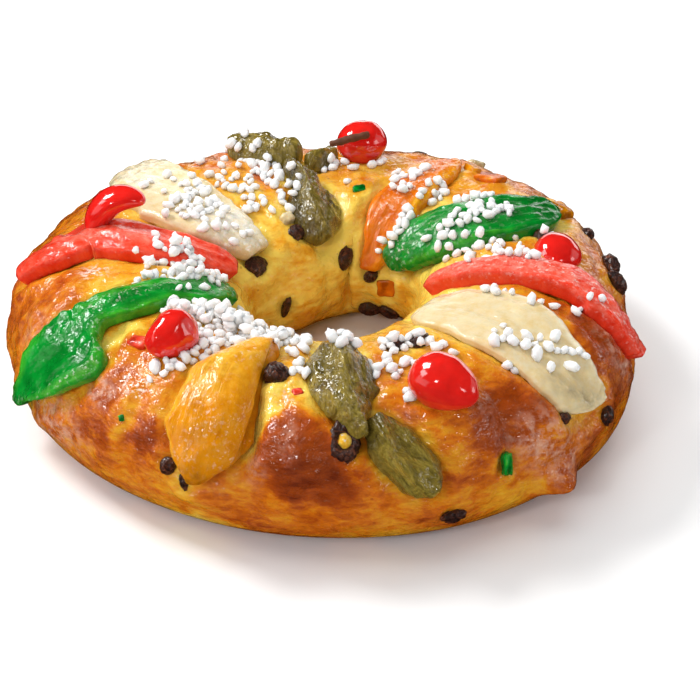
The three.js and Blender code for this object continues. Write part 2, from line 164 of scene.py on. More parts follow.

# ------------------------------------------------------------------ the pieces' named places
# A slab's stops are (over, around, width in mm), as on the imported part. Its rises (mm), frosts
# # (0 to 1: sugar frost, with fine white specks that are partly painted glints) and tones (lighter above
# # 0, darker below: partly the fruit's own colour, partly painted shade and painted glow where light
# # shows through, as noted at each slab) are in the slab's own terms: part of its length, place across
# # it (-1 to 1), spreads in mm along and across, amount. Side and end are the powers that round it, dome
# # its fall to the sides, and rough the height of its small lumps (mm).

SLABS = {
    "strip_red_left": dict(
        finish="candied_squash_red", thickness=6, dome=.2, side=9, end=16, rough=.25,
        frosts_and_glints=((.6, .2, 14, 5, .35),),
        # Its tone of -0.7 at 0.42 along darkens the dent of its fold notch: painted shade.
        tones_and_painted_light=((.12, 0, 9, 6, -.3), (.42, .6, 5, 3, -.7), (.36, .1, 8, 4, .4), (.6, -.3, 16, 2.5, .35)),
        stops=((36, 180.5, 7), (48, 180, 11), (60, 179.5, 17), (67, 178, 20), (74, 175.5, 25),
               (85, 175.5, 22), (100, 178.5, 21), (115, 179.5, 19), (130, 178, 15), (141, 174, 9)),
        rises=((.4, .55, 4, 7, -3.2), (.36, .1, 6, 5, 1.2), (.6, -.2, 22, 3, .9), (.55, .4, 20, 2, -.9))),
    "strip_green_left": dict(
        finish="candied_squash_green", thickness=4.5, dome=.15, side=10, end=16, rough=.3,
        # Its frosts along the edges are partly painted glints.
        frosts_and_glints=((.34, -.75, 24, 2.4, .6), (.03, 0, 5, 12, .6), (.64, .2, 18, 2.5, .6), (.95, 0, 8, 6, .5)),
        # Its lighter tones along the edges are painted glow, where light shows through the thin fruit.
        tones_and_painted_light=((.3, .2, 16, 7, -.25), (.3, -.85, 30, 2.2, .3), (.16, .8, 14, 2.4, .35),
               (.7, .6, 30, 2, .2), (.7, -1, 26, 2.5, .25)),
        straight=True,
        stops=((-11, 199, 5), (0, 203, 10), (16, 207.5, 19), (30, 209.5, 29), (43, 211.7, 35),
               (50, 212, 34.5), (57, 211.2, 30), (62, 208.8, 20), (68, 207.6, 15.5), (78, 207.9, 14.5),
               (90, 208, 15), (102, 208.3, 14.5), (114, 209, 14.5), (130, 205, 14), (142, 202, 10)),
        rises=((.36, -.75, 24, 2.4, 1.5), (.3, .1, 22, 6, -1.6), (.66, .2, 26, 2.6, .8))),
    "strip_cream_back": dict(
        finish="candied_squash_cream", thickness=6, dome=.22, side=8, end=12, rough=.3,
        # Its heavy frost at the inner end is a painted highlight: white glare, drawn as sugar.
        frosts_and_glints=((.86, 0, 14, 10, 2.4), (.3, -.3, 14, 8, .5)),
        tones_and_painted_light=((.25, 0, 16, 10, .3), (.8, .2, 14, 12, .9), (.9, .9, 10, 2, -.3)),
        stops=((42, 134, 14), (55, 137, 24), (70, 141, 31), (85, 145, 33), (100, 149, 33),
               (115, 151, 27), (128, 150, 20), (140, 148, 13)),
        rises=((.35, .1, 16, 9, -1.2), (.8, 0, 10, 8, 1))),
    "strip_orange_back": dict(
        finish="candied_orange_peel", thickness=4.5, dome=.25, side=8, end=12, rough=.4,
        # Its frosts are partly painted glints.
        frosts_and_glints=((.2, 0, 18, 8, .5), (.45, .1, 12, 6, .4)),
        # Its light tone along one edge is painted glow, where light shows through the thin peel.
        tones_and_painted_light=((.5, .85, 34, 2.4, .8), (.75, -.3, 12, 4, -.3)),
        stops=((72, 56, 9), (84, 55.5, 14), (95, 55.5, 15), (106, 56.5, 19), (118, 59, 22),
               (131, 59.5, 20), (146, 60, 14), (158, 60, 12), (167, 61, 9)),
        rises=((.45, .2, 10, 5, .9),)),
    "strip_green_right": dict(
        finish="candied_squash_green", thickness=6.5, dome=.25, side=6, end=8, rough=.4,
        frosts_and_glints=((.5, .1, 20, 9, .3), (.82, 0, 10, 6, .6)),
        # Its light tone along one edge is painted glow, where light shows through the thin fruit.
        tones_and_painted_light=((.5, .9, 30, 1.6, .3), (.14, 0, 13, 12, -.7), (.9, .4, 8, 4, -.3)),
        stops=((68, 20.5, 13), (80, 19, 24), (95, 19, 30), (110, 20, 30), (125, 25, 27),
               (140, 35, 23), (151, 42.5, 17), (161, 48.5, 9)),
        rises=((.2, -.2, 9, 2.5, -1.4), (.5, 0, 16, 8, .8))),
    "strip_red_right": dict(
        finish="candied_squash_red", thickness=6.5, dome=.12, side=10, end=16, rough=.22,
        frosts_and_glints=((.55, 0, 34, 7, .55),),
        tones_and_painted_light=((.7, 0, 22, 5, .3), (.15, 0, 12, 5, -.2)),
        stops=((19, 341, 5), (27, 340.7, 6.5), (37, 341, 9), (48, 342.4, 11.5), (60, 344.6, 14.5),
               (75, 346.7, 15.5), (90, 347.5, 14), (105, 347, 11), (120, 346.5, 10), (142, 350, 7)),
        rises=((.5, .35, 26, 2, -.8),)),
    "strip_cream_right": dict(
        finish="candied_squash_cream", thickness=3.5, dome=.25, side=8, end=12, rough=.3,
        # Its light tone along one edge is painted glow, where light shows through the thin fruit.
        tones_and_painted_light=((.2, .1, 9, 5, -.6), (.34, .5, 7, 4, -.35), (.4, -.92, 40, 1.5, .6), (.5, 0, 80, 30, -.12)),
        straight=True,
        stops=((22.5, 323, 8), (26, 322.1, 15.5), (31, 321, 22), (38, 320.5, 25), (50, 320.5, 26),
               (62, 321, 28), (75, 322, 31.5), (90, 322.6, 32), (105, 322, 28), (118, 321, 23),
               (128, 321, 16)),
        rises=((.5, .1, 20, 8, -.9), (.2, .5, 10, 4, .9))),
    "orange_segment": dict(
        finish="candied_orange_segment", thickness=8.5, dome=.6, side=4.5, end=7, rough=.35,
        straight=True,
        # Its frosts are painted glints: fine white specks for the wet highlights on it.
        frosts_and_glints=((.4, 0, 9, 5, .3), (.8, .2, 6, 5, .6), (.17, .4, 5, 3, .4), (.2, -.6, 5, 3, .4)),
        # Its last tone darkens its thick right edge: painted shade in the crevice beside the dough.
        tones_and_painted_light=((.32, .1, 11, 8, -.3), (.7, .2, 16, 7, .5), (.35, .92, 26, 1.8, .6), (.02, 0, 5, 8, -.6),
               (.5, -.95, 40, 1.8, -.35)),
        stops=((12, 248, 9), (22, 248.3, 19), (30, 248.4, 25), (39, 248.4, 31), (49, 248.1, 29),
               (60, 247.8, 26), (71, 247.8, 24), (81, 249, 18), (90, 251.5, 12), (96, 254.5, 6)),
        rises=((.35, .8, 18, 2, .8), (.35, .6, 18, 2, -.9), (.3, 0, 10, 5, -.8))),
    "fig_front_lower": dict(
        finish="candied_green_fig", thickness=7.5, dome=.75, side=3, end=5, rough=1.1,
        stops=((56, 279.5, 9), (48, 281, 14), (40, 282.7, 17), (32, 284.3, 18), (24, 286, 17.5),
               (17, 287.4, 14), (12, 288.4, 8)),
        # Its first two tones darken both long edges: painted shade.
        tones_and_painted_light=((.5, .95, 30, 1.6, -.6), (.5, -.95, 30, 1.4, -.5), (.05, 0, 5, 8, -.5)),
        rises=((.45, -.2, 14, 2.4, 2.2), (.5, .3, 12, 2, -2.4), (.75, -.5, 8, 2, -1.2),
               (.25, .1, 4, 4, 1.8))),
    "fig_front_upper": dict(
        finish="candied_green_fig", thickness=8, dome=.7, side=3, end=5, rough=1.1,
        # Its tones darken its left edge and the hollows of its pleats: painted shade.
        tones_and_painted_light=((.55, -.95, 26, 2.2, -.6), (.3, -.6, 10, 3, -.5), (.75, .5, 8, 4, -.35),
               (.9, -.4, 6, 5, -.4)),
        stops=((44, 276.7, 7), (52, 276, 9), (58, 275.7, 14), (65, 275, 19), (72, 274.5, 23),
               (82, 274, 23), (92, 273.7, 21), (103, 273.5, 13)),
        rises=((.5, -.6, 8, 4, -3), (.4, .2, 16, 3, 2), (.7, .35, 12, 2, -2.2), (.8, -.3, 10, 3, 1.4),
               (.08, -.3, 5, 3, 1.8))),
    "fig_back_lower": dict(
        finish="candied_green_fig", thickness=8.5, dome=.75, side=3, end=5, rough=1.1,
        stops=((88, 103.5, 7), (96, 102, 8), (104, 99.5, 12), (113, 99.5, 19), (121, 98.5, 20.5),
               (130, 96.5, 20), (138, 94.5, 17), (144, 92.5, 9)),
        tones_and_painted_light=((.5, 0, 60, 30, -.28), (.45, -.8, 20, 2.4, -.5)),
        rises=((.5, 0, 12, 3, 1.2), (.6, .5, 10, 2, -1.6), (.35, -.5, 8, 2, -1.4))),
    "fig_back_left": dict(
        finish="candied_green_fig", thickness=11, dome=.65, side=3, end=5, rough=1.2,
        stops=((65, 116.5, 9), (70, 112.5, 13), (76, 107.5, 14), (81, 103, 12), (86, 99, 8)),
        tones_and_painted_light=((.5, 0, 60, 30, -.12), (.6, .3, 8, 3, -.4)),
        rises=((.5, 0, 8, 3, 1), (.65, .3, 4, 4, -2), (.3, -.4, 5, 3, -1.6))),
    "fig_back_right": dict(
        finish="candied_green_fig", thickness=8, dome=.75, side=3, end=5, rough=1.1,
        stops=((89, 97.5, 7), (88, 94.5, 9), (86, 91, 8), (83, 88, 6)),
        tones_and_painted_light=((.5, 0, 60, 30, -.12),),
        rises=((.5, 0, 6, 2, -1),)),
}

SLAB_FACE = 0.9                    # mm, a face's length
SLAB_LEAST_FACES = 12              # across a narrow slab
SLAB_LAYERS = 6                    # faces through a slab
SLAB_DOME = (2.4, 0.25)            # power of its fall to the sides, and the least share left there
SLAB_TOP = (0.6, 0.9)              # parts of its thickness between which its top colour sets in
SLAB_FROST_LINE = (0.4, 0.7)       # and its frost
SLAB_ROOT = 1.2                    # mm that its underside lies under the dough's skin
SLAB_HEADING_STEP = 0.03           # part of its length over which its heading is measured
SLAB_WAVES = (11, 0.55)            # width and rise of its slow waves, mm
SLAB_LUMP = 3.2                    # width of its small lumps, mm
SLAB_LUMP_STRETCH = (0.45, 1, 1)   # they are longer along the slab
RAGGED_EDGE = (7, 0.7)             # width and depth of the edges' raggedness, mm
EDGE_APART = 40                    # mm between both edges in the noise, so that they differ

# around, over, radius, height (as a share of the width), lift, turn, taper, unevenness, seed, and
# how far it is bent over (degrees)
CHERRIES = {
    "cherry_front_right": (294.7, 66.3, 10.6, .9, 4.5, -60, .3, .025, 3, 0),
    "cherry_front_left": (231, 79.5, 8.2, 1.1, 5.5, -90, .4, .06, 5, 0),
    "cherry_back_left": (170, 90, 16.4, 1, 7.5, 0, 0, .02, 8, 130),
    "cherry_back": (80.3, 80, 10, .9, 7, 0, .1, .035, 11, 0),
    "cherry_right": (1, 75, 9.5, .8, -1.2, 180, .1, .03, 14, 0),
}

# around, over, length, width, height, turn
RAISINS = (
    (155, 147, 11, 8, 5, 20), (143, 179, 9, 3, 4, 70), (113, 133, 9, 7, 6, 0),
    (79, 157, 9.5, 7, 6, 80), (63, 203, 9, 7, 6, 10), (50, 203, 9, 7, 5, -20),
    (258.7, 80, 8.6, 8.6, 10, 0), (242, 14, 6.5, 5.5, 5, 70), (245.3, 6, 6.5, 3, 3.4, 110),
    (292, 352, 9, 5, 5, 0), (6, 36, 10, 6, 8, 30), (.5, 33, 10, 6, 7, 70),
    (8, 82, 9, 6, 5, 0), (292, 101, 9, 7, 6, 40), (300, 99, 10, 6, 5, 20),
    (325.5, 11, 7, 5, 5, 60), (70, 30, 9, 7, 5, 30), (116, 20, 8, 6, 5, 100),
)
SMALL_RAISINS = ((315, 28, 5, 4, 4, 0), (60, 172, 6, 5, 5, 40), (16, 45, 6, 5, 5, 10))
SMALL_RAISIN_SEED = 40

# The bent half cherry in its radii: lean of its foot (radians), half thickness and half width at its
# middle and what they lose to its tip, and how far it is let down
HOOK_LEAN = 0.7
HOOK_THICKNESS = (0.33, 0.05)
HOOK_WIDTH = (0.5, 0.1)
HOOK_SINK = 0.4

# node: finish, around, over, length, width, height, turn
DICE = {
    "dice_green_front": ("candied_squash_green", 302, 16.5, 7.6, 4.6, 2.6, 75),
    "dice_green_back": ("candied_squash_green", 77, 112, 5, 4, 3.5, 10),
    "dice_red_left": ("candied_squash_red", 223, 72, 8, 5, 4, 10),
    "dice_melon_back": ("candied_squash_cream", 115.5, 124, 6, 5, 6, 15),
    "dice_melon_far": ("candied_squash_cream", 54, 52, 7, 6, 5, 0),
    "dice_amber_far": ("candied_orange_segment", 50, 72, 9, 5, 5, -30),
    "dice_orange_far": ("candied_orange_peel", 42, 78, 14, 7, 4, 0),
    "dice_orange_inner": ("candied_orange_peel", 48, 178, 8, 7, 3.4, 12),
    "dice_amber_right": ("candied_orange_segment", 23, 58, 9, 7, 6, 20),
}
SMALL_DICE = {
    "bit_green": ("candied_squash_green", 230.6, 31, 3.2, 2.6, 1.6, 20),
    "bit_red": ("candied_squash_red", 264.3, 70, 3.6, 3, 2.6, 30),
}
SMALL_DICE_SEED = 20
SMALL_LIFT = 0.08    # how far a raisin's or a dice's middle stands out, as a share of its height

DRIED_FRUIT = dict(around=273.7, over=43, ring=3.6, tube=1.9, stretch=1.25)
RIM_LIFT = 0.5       # how far the rim's middle stands out, as a share of the tube's radius
HEART_LIFT = 0.6     # and the heart's, which also reaches this share into the tube
HEART_HEIGHT = 2     # mm
HEART_LOOK = {"top": 1.0, "frost": 0.9, "tone": 0.8}
STALK_RADIUS = 1.5
STALK_LENGTH = 17
STALK_STOPS = ((-13.5, -11, 4.6), (-5.5, -10.8, 6.8), (2.7, -9.3, 8.4))
STALK_CHERRY = "cherry_back"

# Pearl sugar lies in bands: around and over of both ends, half width in mm, grains, layers
SUGAR_BANDS = (
    (183, 103, 196, 124, 8, 44, 2), (198, 93, 201, 121, 2.6, 24, 2), (211, 105, 212, 109, 1.5, 2, 1),
    (175, 107, 176, 108, 1, 1, 1), (189, 99, 190, 101, 1.5, 3, 1), (170, 92, 171, 93, 1, 2, 1),
    (142, 94, 159, 117, 10, 44, 1), (154, 104, 158, 108, 5, 9, 1), (196, 122, 200, 128, 3, 6, 1),
    (216, 98, 227, 99, 3, 18, 2), (223, 106, 241, 103, 5.5, 54, 3), (240, 104, 258, 111, 4.5, 40, 2),
    (228, 92, 240, 88, 3, 14, 1), (233, 63, 241, 90, 2.4, 22, 1), (240, 92, 250, 100, 4, 14, 1),
    (261, 98, 265, 78, 2.4, 8, 1), (259, 103, 262, 104, 2, 4, 1), (271, 94, 278, 93, 2, 6, 1),
    (115, 72, 113, 102, 8, 34, 1), (123, 84, 126, 112, 7, 30, 1), (111, 82, 109, 97, 4, 10, 1),
    (90, 90, 75, 88, 2.4, 12, 1), (82, 101, 83, 102, 1, 1, 1), (68, 97, 56, 107, 6, 20, 1),
    (52, 132, 50, 112, 1.5, 4, 1), (48, 143, 48, 146, 2, 4, 1), (46, 113, 49, 98, 2.5, 7, 1),
    (45, 131, 47, 144, 2, 7, 1), (56, 151, 57, 153, 1.5, 3, 1), (36, 102, 29, 97, 3, 9, 1),
    (18.6, 99, 23, 123, 5.5, 26, 1), (18, 126, 0, 118, 3.2, 12, 1), (4, 110, 0, 93, 3.2, 13, 1),
    (355, 95, 353, 86, 2.4, 8, 1), (7, 79, 7, 82, 1.5, 2, 1), (352, 98, 351, 88, 2, 5, 1),
    (333, 104, 336, 88, 2, 5, 1), (333, 81, 344, 53, 2.4, 7, 1), (315, 74, 326, 57, 6, 19, 1),
    (315, 77, 316, 76, 1.5, 2, 1), (312, 69, 312, 66, 1.2, 2, 1), (312, 62, 312, 61, .5, 1, 1),
    (302, 92, 304, 87, 2, 4, 1), (287, 103, 301, 94, 3, 12, 1), (283, 88, 288, 84, 2.6, 9, 1),
    (292, 87, 293, 86, 1.5, 2, 1), (289, 70, 288, 67, 1.5, 3, 1),
)
SUGAR_SEED = 6
SUGAR_SHAPES = 9                  # different nibs
SUGAR_TRIES = 14                  # throws for each grain, before it is given up
SUGAR_DROP = 35.0                 # mm above the dough's skin that a grain falls from
SUGAR_SPREAD = 0.55               # its spread in a band, as a share of the half width
SUGAR_SIZES = (0.6, 1.2)          # least and greatest size, as shares of the mean grain
SUGAR_SEAT = 0.34                 # height of its middle over what it lies on, as a share of its size
SUGAR_NEAR = 0.42                 # it lies on a grain nearer than this share of both sizes
SUGAR_STACK = 0.62                # how much higher it then lies, as a share of its size
SUGAR_TILT = 0.5                  # radians
BARE_SLOTS = ("cherry", "stalk")  # what sugar doesn't stay on
RIGID_ROOT = "root"

# ------------------------------------------------------------------ the stage's named values

FLOOR_HALF = 6.0                       # metres
FLOOR_GAP = 0.2                        # mm under the ring's flat face
WORLD_COLOUR = (0.86, 0.93, 1.0)
WORLD_STRENGTH = 0.33
CAMERA_TARGET = (12.4, -23.2, 25.0)    # mm
CAMERA_DISTANCE = 600.0                # mm
CAMERA_ELEVATION = 34.0                # degrees
CAMERA_LENS = 82.54                    # mm
CAMERA_SENSOR = 36.0                   # mm

# name, place, where it points (metres), width and height (metres), power (watts), seen in gloss
LIGHTS = (
    ("key_back_left", (-0.73, 0.36, 0.92), (0, 0, 0.03), (0.4, 0.34), 10.5, True),
    ("top_box", (0.05, 0.1, 1.25), (0, 0, 0), (1.1, 0.9), 4.6, False),
    ("back_wash", (0.45, 1.5, 0.9), (0.25, 0.7, 0), (1.2, 0.5), 9, False),
    ("backdrop", (0.45, 1.4, 0.22), (0.1, 0, 0.05), (2.0, 0.4), 5, True),
    ("fill_front", (-0.55, -0.9, 0.7), (0, 0, 0.03), (0.15, 0.12), 1.7, True),
    ("fill_wide", (-0.35, -1.0, 0.8), (0, 0, 0), (0.9, 0.5), 2.9, False),
    ("front_right", (0.72, -0.8, 0.5), (0.04, -0.04, 0.03), (0.22, 0.18), 0.7, True),
    ("side_left", (-0.95, -0.02, 0.7), (0, 0, 0.03), (0.36, 0.3), 1.7, True),
    ("side_right", (1.0, -0.2, 0.22), (0, 0, 0.03), (0.34, 0.24), 0.6, True),
    ("rim_left", (-1.05, -0.35, 0.3), (0, 0, 0.03), (0.8, 0.5), 1.1, True),
    ("rim_right", (1.1, 0.1, 0.3), (0, 0, 0.03), (0.9, 0.5), 0.7, True),
)


# ------------------------------------------------------------------ the dough's skin

def at_angle(values, degrees):
    """A smooth closed curve through equally spaced values, read at angles in degrees."""
    count = len(values)
    place = np.mod(degrees, FULL_TURN) / FULL_TURN * count
    step = np.floor(place).astype(int)
    part = place - step
    ring = np.array(values, float)
    before, start, end, after = (ring[(step + k) % count] for k in (-1, 0, 1, 2))
    bend = 2 * before - 5 * start + 4 * end - after
    curl = 3 * (start - end) + after - before
    return start + 0.5 * part * (end - before + part * (bend + part * curl))


def angle_between(a, b):
    """How many degrees a is past b, from -180 to 180."""
    return np.mod(a - b + FULL_TURN / 2, FULL_TURN) - FULL_TURN / 2


def bumps(table, around, over):
    """Adds up a table's rises: around, over, both spreads, rise and, if its edge is crisp, how crisp."""
    total = np.zeros(np.broadcast(around, over).shape)
    for row_around, row_over, wide, tall, rise, *crispness in table:
        a = angle_between(around, row_around) / wide
        o = angle_between(over, row_over) / tall
        power = crispness[0] if crispness else 1
        total = total + rise * np.exp(-((a * a + o * o) ** power))
    return total


def dough_skin(around, over):
    """Points of the dough's skin, in mm, at arrays of the two angles."""
    around, over = np.broadcast_arrays(np.asarray(around, float), np.asarray(over, float))
    outer = at_angle(OUTER_RADIUS, around)
    hole = at_angle(HOLE_RADIUS, around)
    crown = at_angle(CROWN_HEIGHT, around)
    waist = crown * WAIST
    cos = np.cos(np.radians(over))
    sin = np.sin(np.radians(over))
    swell = bumps(SWELLS, around, over)
    above = sin >= 0
    across = np.sign(cos) * np.abs(cos) ** np.where(above, SIDE_FULLNESS, SKIRT_FULLNESS)
    rise = (crown - waist) * np.abs(sin) ** CROWN_FULLNESS
    drop = waist * SAG * np.abs(sin) ** UNDERCUT
    height = np.where(above, waist + rise, waist - drop) + swell * np.maximum(sin, 0)
    radius = (outer + hole) / 2 + across * (outer - hole) / 2 + swell * cos
    turn = np.radians(around)
    x = RING_CENTRE[0] + radius * np.cos(turn)
    y = RING_CENTRE[1] + radius * np.sin(turn)
    return np.stack([x, y, np.maximum(height, 0)], axis=-1)


def unit(vectors):
    """Vectors of length 1 in the same directions."""
    return vectors / np.maximum(np.linalg.norm(vectors, axis=-1, keepdims=True), 1e-9)


def skin_frame(around, over):
    """Directions along "around", along "over" and out of the skin, and the mm of one degree."""
    nudge = 0.5
    along = dough_skin(around + nudge, over) - dough_skin(around - nudge, over)
    up = dough_skin(around, over + nudge) - dough_skin(around, over - nudge)
    around_pace = np.linalg.norm(along, axis=-1) / (2 * nudge)
    over_pace = np.linalg.norm(up, axis=-1) / (2 * nudge)
    return unit(along), unit(up), unit(np.cross(along, up)), around_pace, over_pace


def lifted(around, over, lift):
    """Points that stand off the dough's skin by a lift in mm."""
    out = skin_frame(around, over)[2]
    return dough_skin(around, over) + out * np.asarray(lift, float)[..., None]


def smooth_step(low, high, value):
    """A smooth change from 0 at low to 1 at high."""
    t = np.clip((value - low) / (high - low), 0, 1)
    return t * t * (3 - 2 * t)


def grain(points, feature, seed=0.0, octaves=1):
    """Noise of about -1 to 1 at points in mm; "feature" is the size of one lump in mm."""
    shift = Vector((seed * 17.3, seed * 5.1, seed * 9.7))
    total = np.zeros(len(points))
    weight = 1.0
    for octave in range(octaves):
        scale = 2 ** octave / feature
        total += weight * np.array([noise.noise(Vector(p) * scale + shift) for p in points])
        weight *= 0.5
    return total * 1.6


# ------------------------------------------------------------------ what a user would change

def linear(hex_value):
    """Scene-linear red, green and blue of an sRGB hex value such as 0xE8A020."""
    parts = [((hex_value >> shift) & 255) / 255 for shift in (16, 8, 0)]
    return tuple(p / 12.92 if p <= 0.04045 else ((p + 0.055) / 1.055) ** 2.4 for p in parts)


def swatch(name, description, hex_value):
    """A colour property whose default is an sRGB hex value turned to linear."""
    return FloatVectorProperty(
        name=name, description=description, subtype="COLOR", size=3, min=0, max=1,
        default=linear(hex_value))


class RosconSizes(bpy.types.PropertyGroup):
    """Sizes of the finish; the pieces' own sizes are the named values above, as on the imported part."""

    dough_steps: IntProperty(
        name="Dough steps", description="Faces around the ring", default=448, min=64, max=600)
    section_steps: IntProperty(
        name="Section steps", description="Faces around the dough's section",
        default=160, min=32, max=220)
    sugar_grain: FloatProperty(
        name="Sugar grain", description="Mean length of a grain of pearl sugar",
        default=3.5 * MM, min=1 * MM, max=6 * MM, unit="LENGTH")
    wrinkle: FloatProperty(
        name="Crust wrinkle", description="Width of the fine wrinkles in the glazed crust",
        default=2.2 * MM, min=0.5 * MM, max=6 * MM, unit="LENGTH")
    fibre: FloatProperty(
        name="Fruit fibre", description="Width of the fibres that show in candied fruit",
        default=0.9 * MM, min=0.3 * MM, max=4 * MM, unit="LENGTH")


class RosconColours(bpy.types.PropertyGroup):
    """Colours of the crust, the fruit and the sugar."""

    crumb: swatch("Crumb", "Crust that fruit or the skirt kept pale", 0xF4D058)
    gold: swatch("Gold", "Lightly baked crust", 0xE4A024)
    amber_crust: swatch("Amber crust", "Crust of middling bake", 0xCC6A10)
    brown: swatch("Brown", "Well baked crust", 0xA44610)
    dark: swatch("Dark", "Deepest baked crust", 0x702606)
    red: swatch("Red fruit", "Candied red slabs", 0xF04224)
    green: swatch("Green fruit", "Candied green slabs", 0x04962C)
    cream: swatch("Cream fruit", "Candied pale slabs", 0xE8D4A6)
    orange: swatch("Orange fruit", "Candied orange peel", 0xE0700C)
    amber: swatch("Amber fruit", "Candied orange segment", 0xE08E08)
    fig: swatch("Fig", "Candied fig", 0x8C782C)
    cherry: swatch("Cherry", "Glace cherry", 0xE6221B)
    raisin: swatch("Raisin", "Baked raisin", 0x3A1A12)
    sugar: swatch("Pearl sugar", "Grains of pearl sugar", 0xFDFAF7)
    stalk: swatch("Stalk", "Dry stalk", 0x5A3018)
    floor: swatch("Floor", "Floor the ring stands on", 0xFBFAF8)


# ------------------------------------------------------------------ materials

# A Mix node's sockets for colours, by their places
FACTOR, MIX_A, MIX_B, MIXED = 0, 6, 7, 2

# Each finish's slot in the record
SLOT_OF = {
    "egg_washed_crust": "crust", "candied_squash_red": "candied_red",
    "candied_squash_green": "candied_green", "candied_squash_cream": "candied_melon",
    "candied_orange_peel": "candied_orange", "candied_orange_segment": "candied_amber",
    "candied_green_fig": "candied_fig", "glace_cherry": "cherry", "baked_raisin": "raisin",
    "dry_stalk": "stalk", "pearl_sugar": "candied_melon",
}

# A slab's own colour property, its deep, top and pale colours, then its shares of top colour, of
# frost and of fibre
SLAB_LOOKS = {
    "candied_squash_red": ("red", 0xDC2A12, 0xF47058, 0xF89480, 0.65, 0.3, 0.6),
    "candied_squash_green": ("green", 0x026A1C, 0x0C9632, 0x66C41C, 0.25, 0.2, 0.4),
    "candied_squash_cream": ("cream", 0xD8BC84, 0xEADCBA, 0xF8EFDA, 0.7, 0.5, 0.2),
    "candied_orange_peel": ("orange", 0xCC5A04, 0xEA8A12, 0xF6B010, 0.5, 0.25, 0.8),
    "candied_orange_segment": ("amber", 0xC67204, 0xE89E14, 0xF6C640, 0.5, 0.2, 0.6),
}
# White of the sugar frost and of the painted glints
FROST_AND_GLINT_WHITE = 0xF6EEE2


def add_node(tree, kind, settings=None, links=None, output=0):
    """Adds a shader node and gives one of its outputs, by name or by number.

    Settings give its properties, its colour ramp's stops and the values of its inputs, and links give
    the sockets that feed its inputs. An input goes by its name or its number.
    """
    node = tree.nodes.new("ShaderNode" + kind)
    for key, value in (settings or {}).items():
        if key == "color_ramp":
            set_stops(node.color_ramp, value)
        elif isinstance(key, str) and hasattr(node, key):
            setattr(node, key, value)
        else:
            slot = node.inputs[key]
            slot.default_value = (*value, 1) if slot.type == "RGBA" else value
    for key, socket in (links or {}).items():
        tree.links.new(socket, node.inputs[key])
    return node.outputs[output] if node.outputs else None


def set_stops(band, stops):
    """Gives a colour ramp its stops, each a place and a linear colour."""
    while len(band.elements) < len(stops):
        band.elements.new(0.5)
    for element, (place, colour) in zip(band.elements, stops):
        element.position = place
        element.color = (*colour, 1)


def start_material(name):
    """An empty material, and the function that adds a node to it."""
    material = bpy.data.materials.new(name)
    material.use_nodes = True
    material.node_tree.nodes.clear()
    return material, partial(add_node, material.node_tree)


def finish_material(add, settings, links):
    """Adds the surface that every finish ends in, with its constants and what feeds it."""
    surface = add("BsdfPrincipled", settings, links)
    add("OutputMaterial", {}, {"Surface": surface})


def shade(colour, share, lift=0.0):
    """A darker or lighter linear colour."""
    return tuple(min(c * share + lift, 1) for c in colour)


def egg_washed_crust(look, sizes):
    """Yeast dough, brushed with egg and baked: a glossy, finely wrinkled skin whose colour runs from
    pale crumb beside the fruit to deep brown on the swells, under a smooth wet coat of wash. Pale
    pinkish patches of painted sheen and white specks of painted glints lie on its colour in places."""
    material, add = start_material("egg_washed_crust")
    place = add("TexCoord", output="Object")
    colour = painted_sheen_and_glints(add, place, baked_colour(add, look, place))
    skin, coat = crust_relief(add, sizes, place)
    smears = add("TexNoise", {"Scale": 1 / (9 * MM), "Detail": 4, "Roughness": 0.6}, {"Vector": place})
    gloss = add("Math", {"operation": "MULTIPLY_ADD", "use_clamp": True, 1: 1.2, 2: -0.32}, {0: smears})
    finish_material(add, {
        "IOR": 1.45, "Specular IOR Level": 0.14,
        "Coat Weight": 0.9, "Coat Roughness": 0.05, "Coat IOR": 1.5,
        "Subsurface Weight": 0.08, "Subsurface Radius": (0.9, 0.45, 0.15), "Subsurface Scale": 2 * MM,
    }, {"Base Color": colour, "Roughness": gloss, "Normal": skin, "Coat Normal": coat})
    return material


def baked_colour(add, look, place):
    """Colour by depth of bake, which sways in clouds, flat streaks and flakes; dark blisters on top."""
    clouds = add("TexNoise", {"Scale": 1 / (20 * MM), "Detail": 3, "Roughness": 0.55}, {"Vector": place})
    flat = add("Mapping", {"Scale": (1, 1, 2.6)}, {"Vector": place})
    streaks = {"Scale": 1 / (9 * MM), "Detail": 4, "Roughness": 0.58, "Distortion": 0.5}
    streaks = add("TexNoise", streaks, {"Vector": flat})
    flat = add("Mapping", {"Scale": (1, 1, 1.8)}, {"Vector": place})
    flakes = {"Scale": 1 / (5 * MM), "Detail": 5, "Roughness": 0.62, "Distortion": 0.8}
    flakes = add("TexNoise", flakes, {"Vector": flat})
    flakes = add("Math", {"operation": "MULTIPLY_ADD", "use_clamp": True, 1: 5.0, 2: -2.1}, {0: flakes})
    depth = add("Attribute", {"attribute_name": "bake"}, output="Fac")
    for pattern, share in ((clouds, 0.3), (streaks, 0.5), (flakes, 0.1)):
        sway = add("Math", {"operation": "MULTIPLY_ADD", 1: share, 2: -share / 2}, {0: pattern})
        depth = add("Math", {"operation": "ADD"}, {0: depth, 1: sway})
    stops = (
        (0.1, look.crumb), (0.3, look.gold), (0.52, look.amber_crust), (0.67, look.brown),
        (0.98, look.dark))
    colour = add("ValToRGB", {"color_ramp": stops}, {"Fac": depth})
    blisters = add("TexVoronoi", {"Scale": 1 / (5 * MM), "Randomness": 1.0}, {"Vector": place}, "Distance")
    dots = add("Math", {"operation": "LESS_THAN", 1: 0.1}, {0: blisters})
    areas = add("TexNoise", {"Scale": 1 / (9 * MM), "Detail": 1, "Roughness": 0.55}, {"Vector": place})
    sparse = add("Math", {"operation": "GREATER_THAN", 1: 0.56}, {0: areas})
    dots = add("Math", {"operation": "MULTIPLY"}, {0: dots, 1: sparse})
    dots = add("Math", {"operation": "MULTIPLY", 1: 0.35}, {0: dots})
    return add("Mix", {"data_type": "RGBA", MIX_B: look.dark}, {FACTOR: dots, MIX_A: colour}, MIXED)


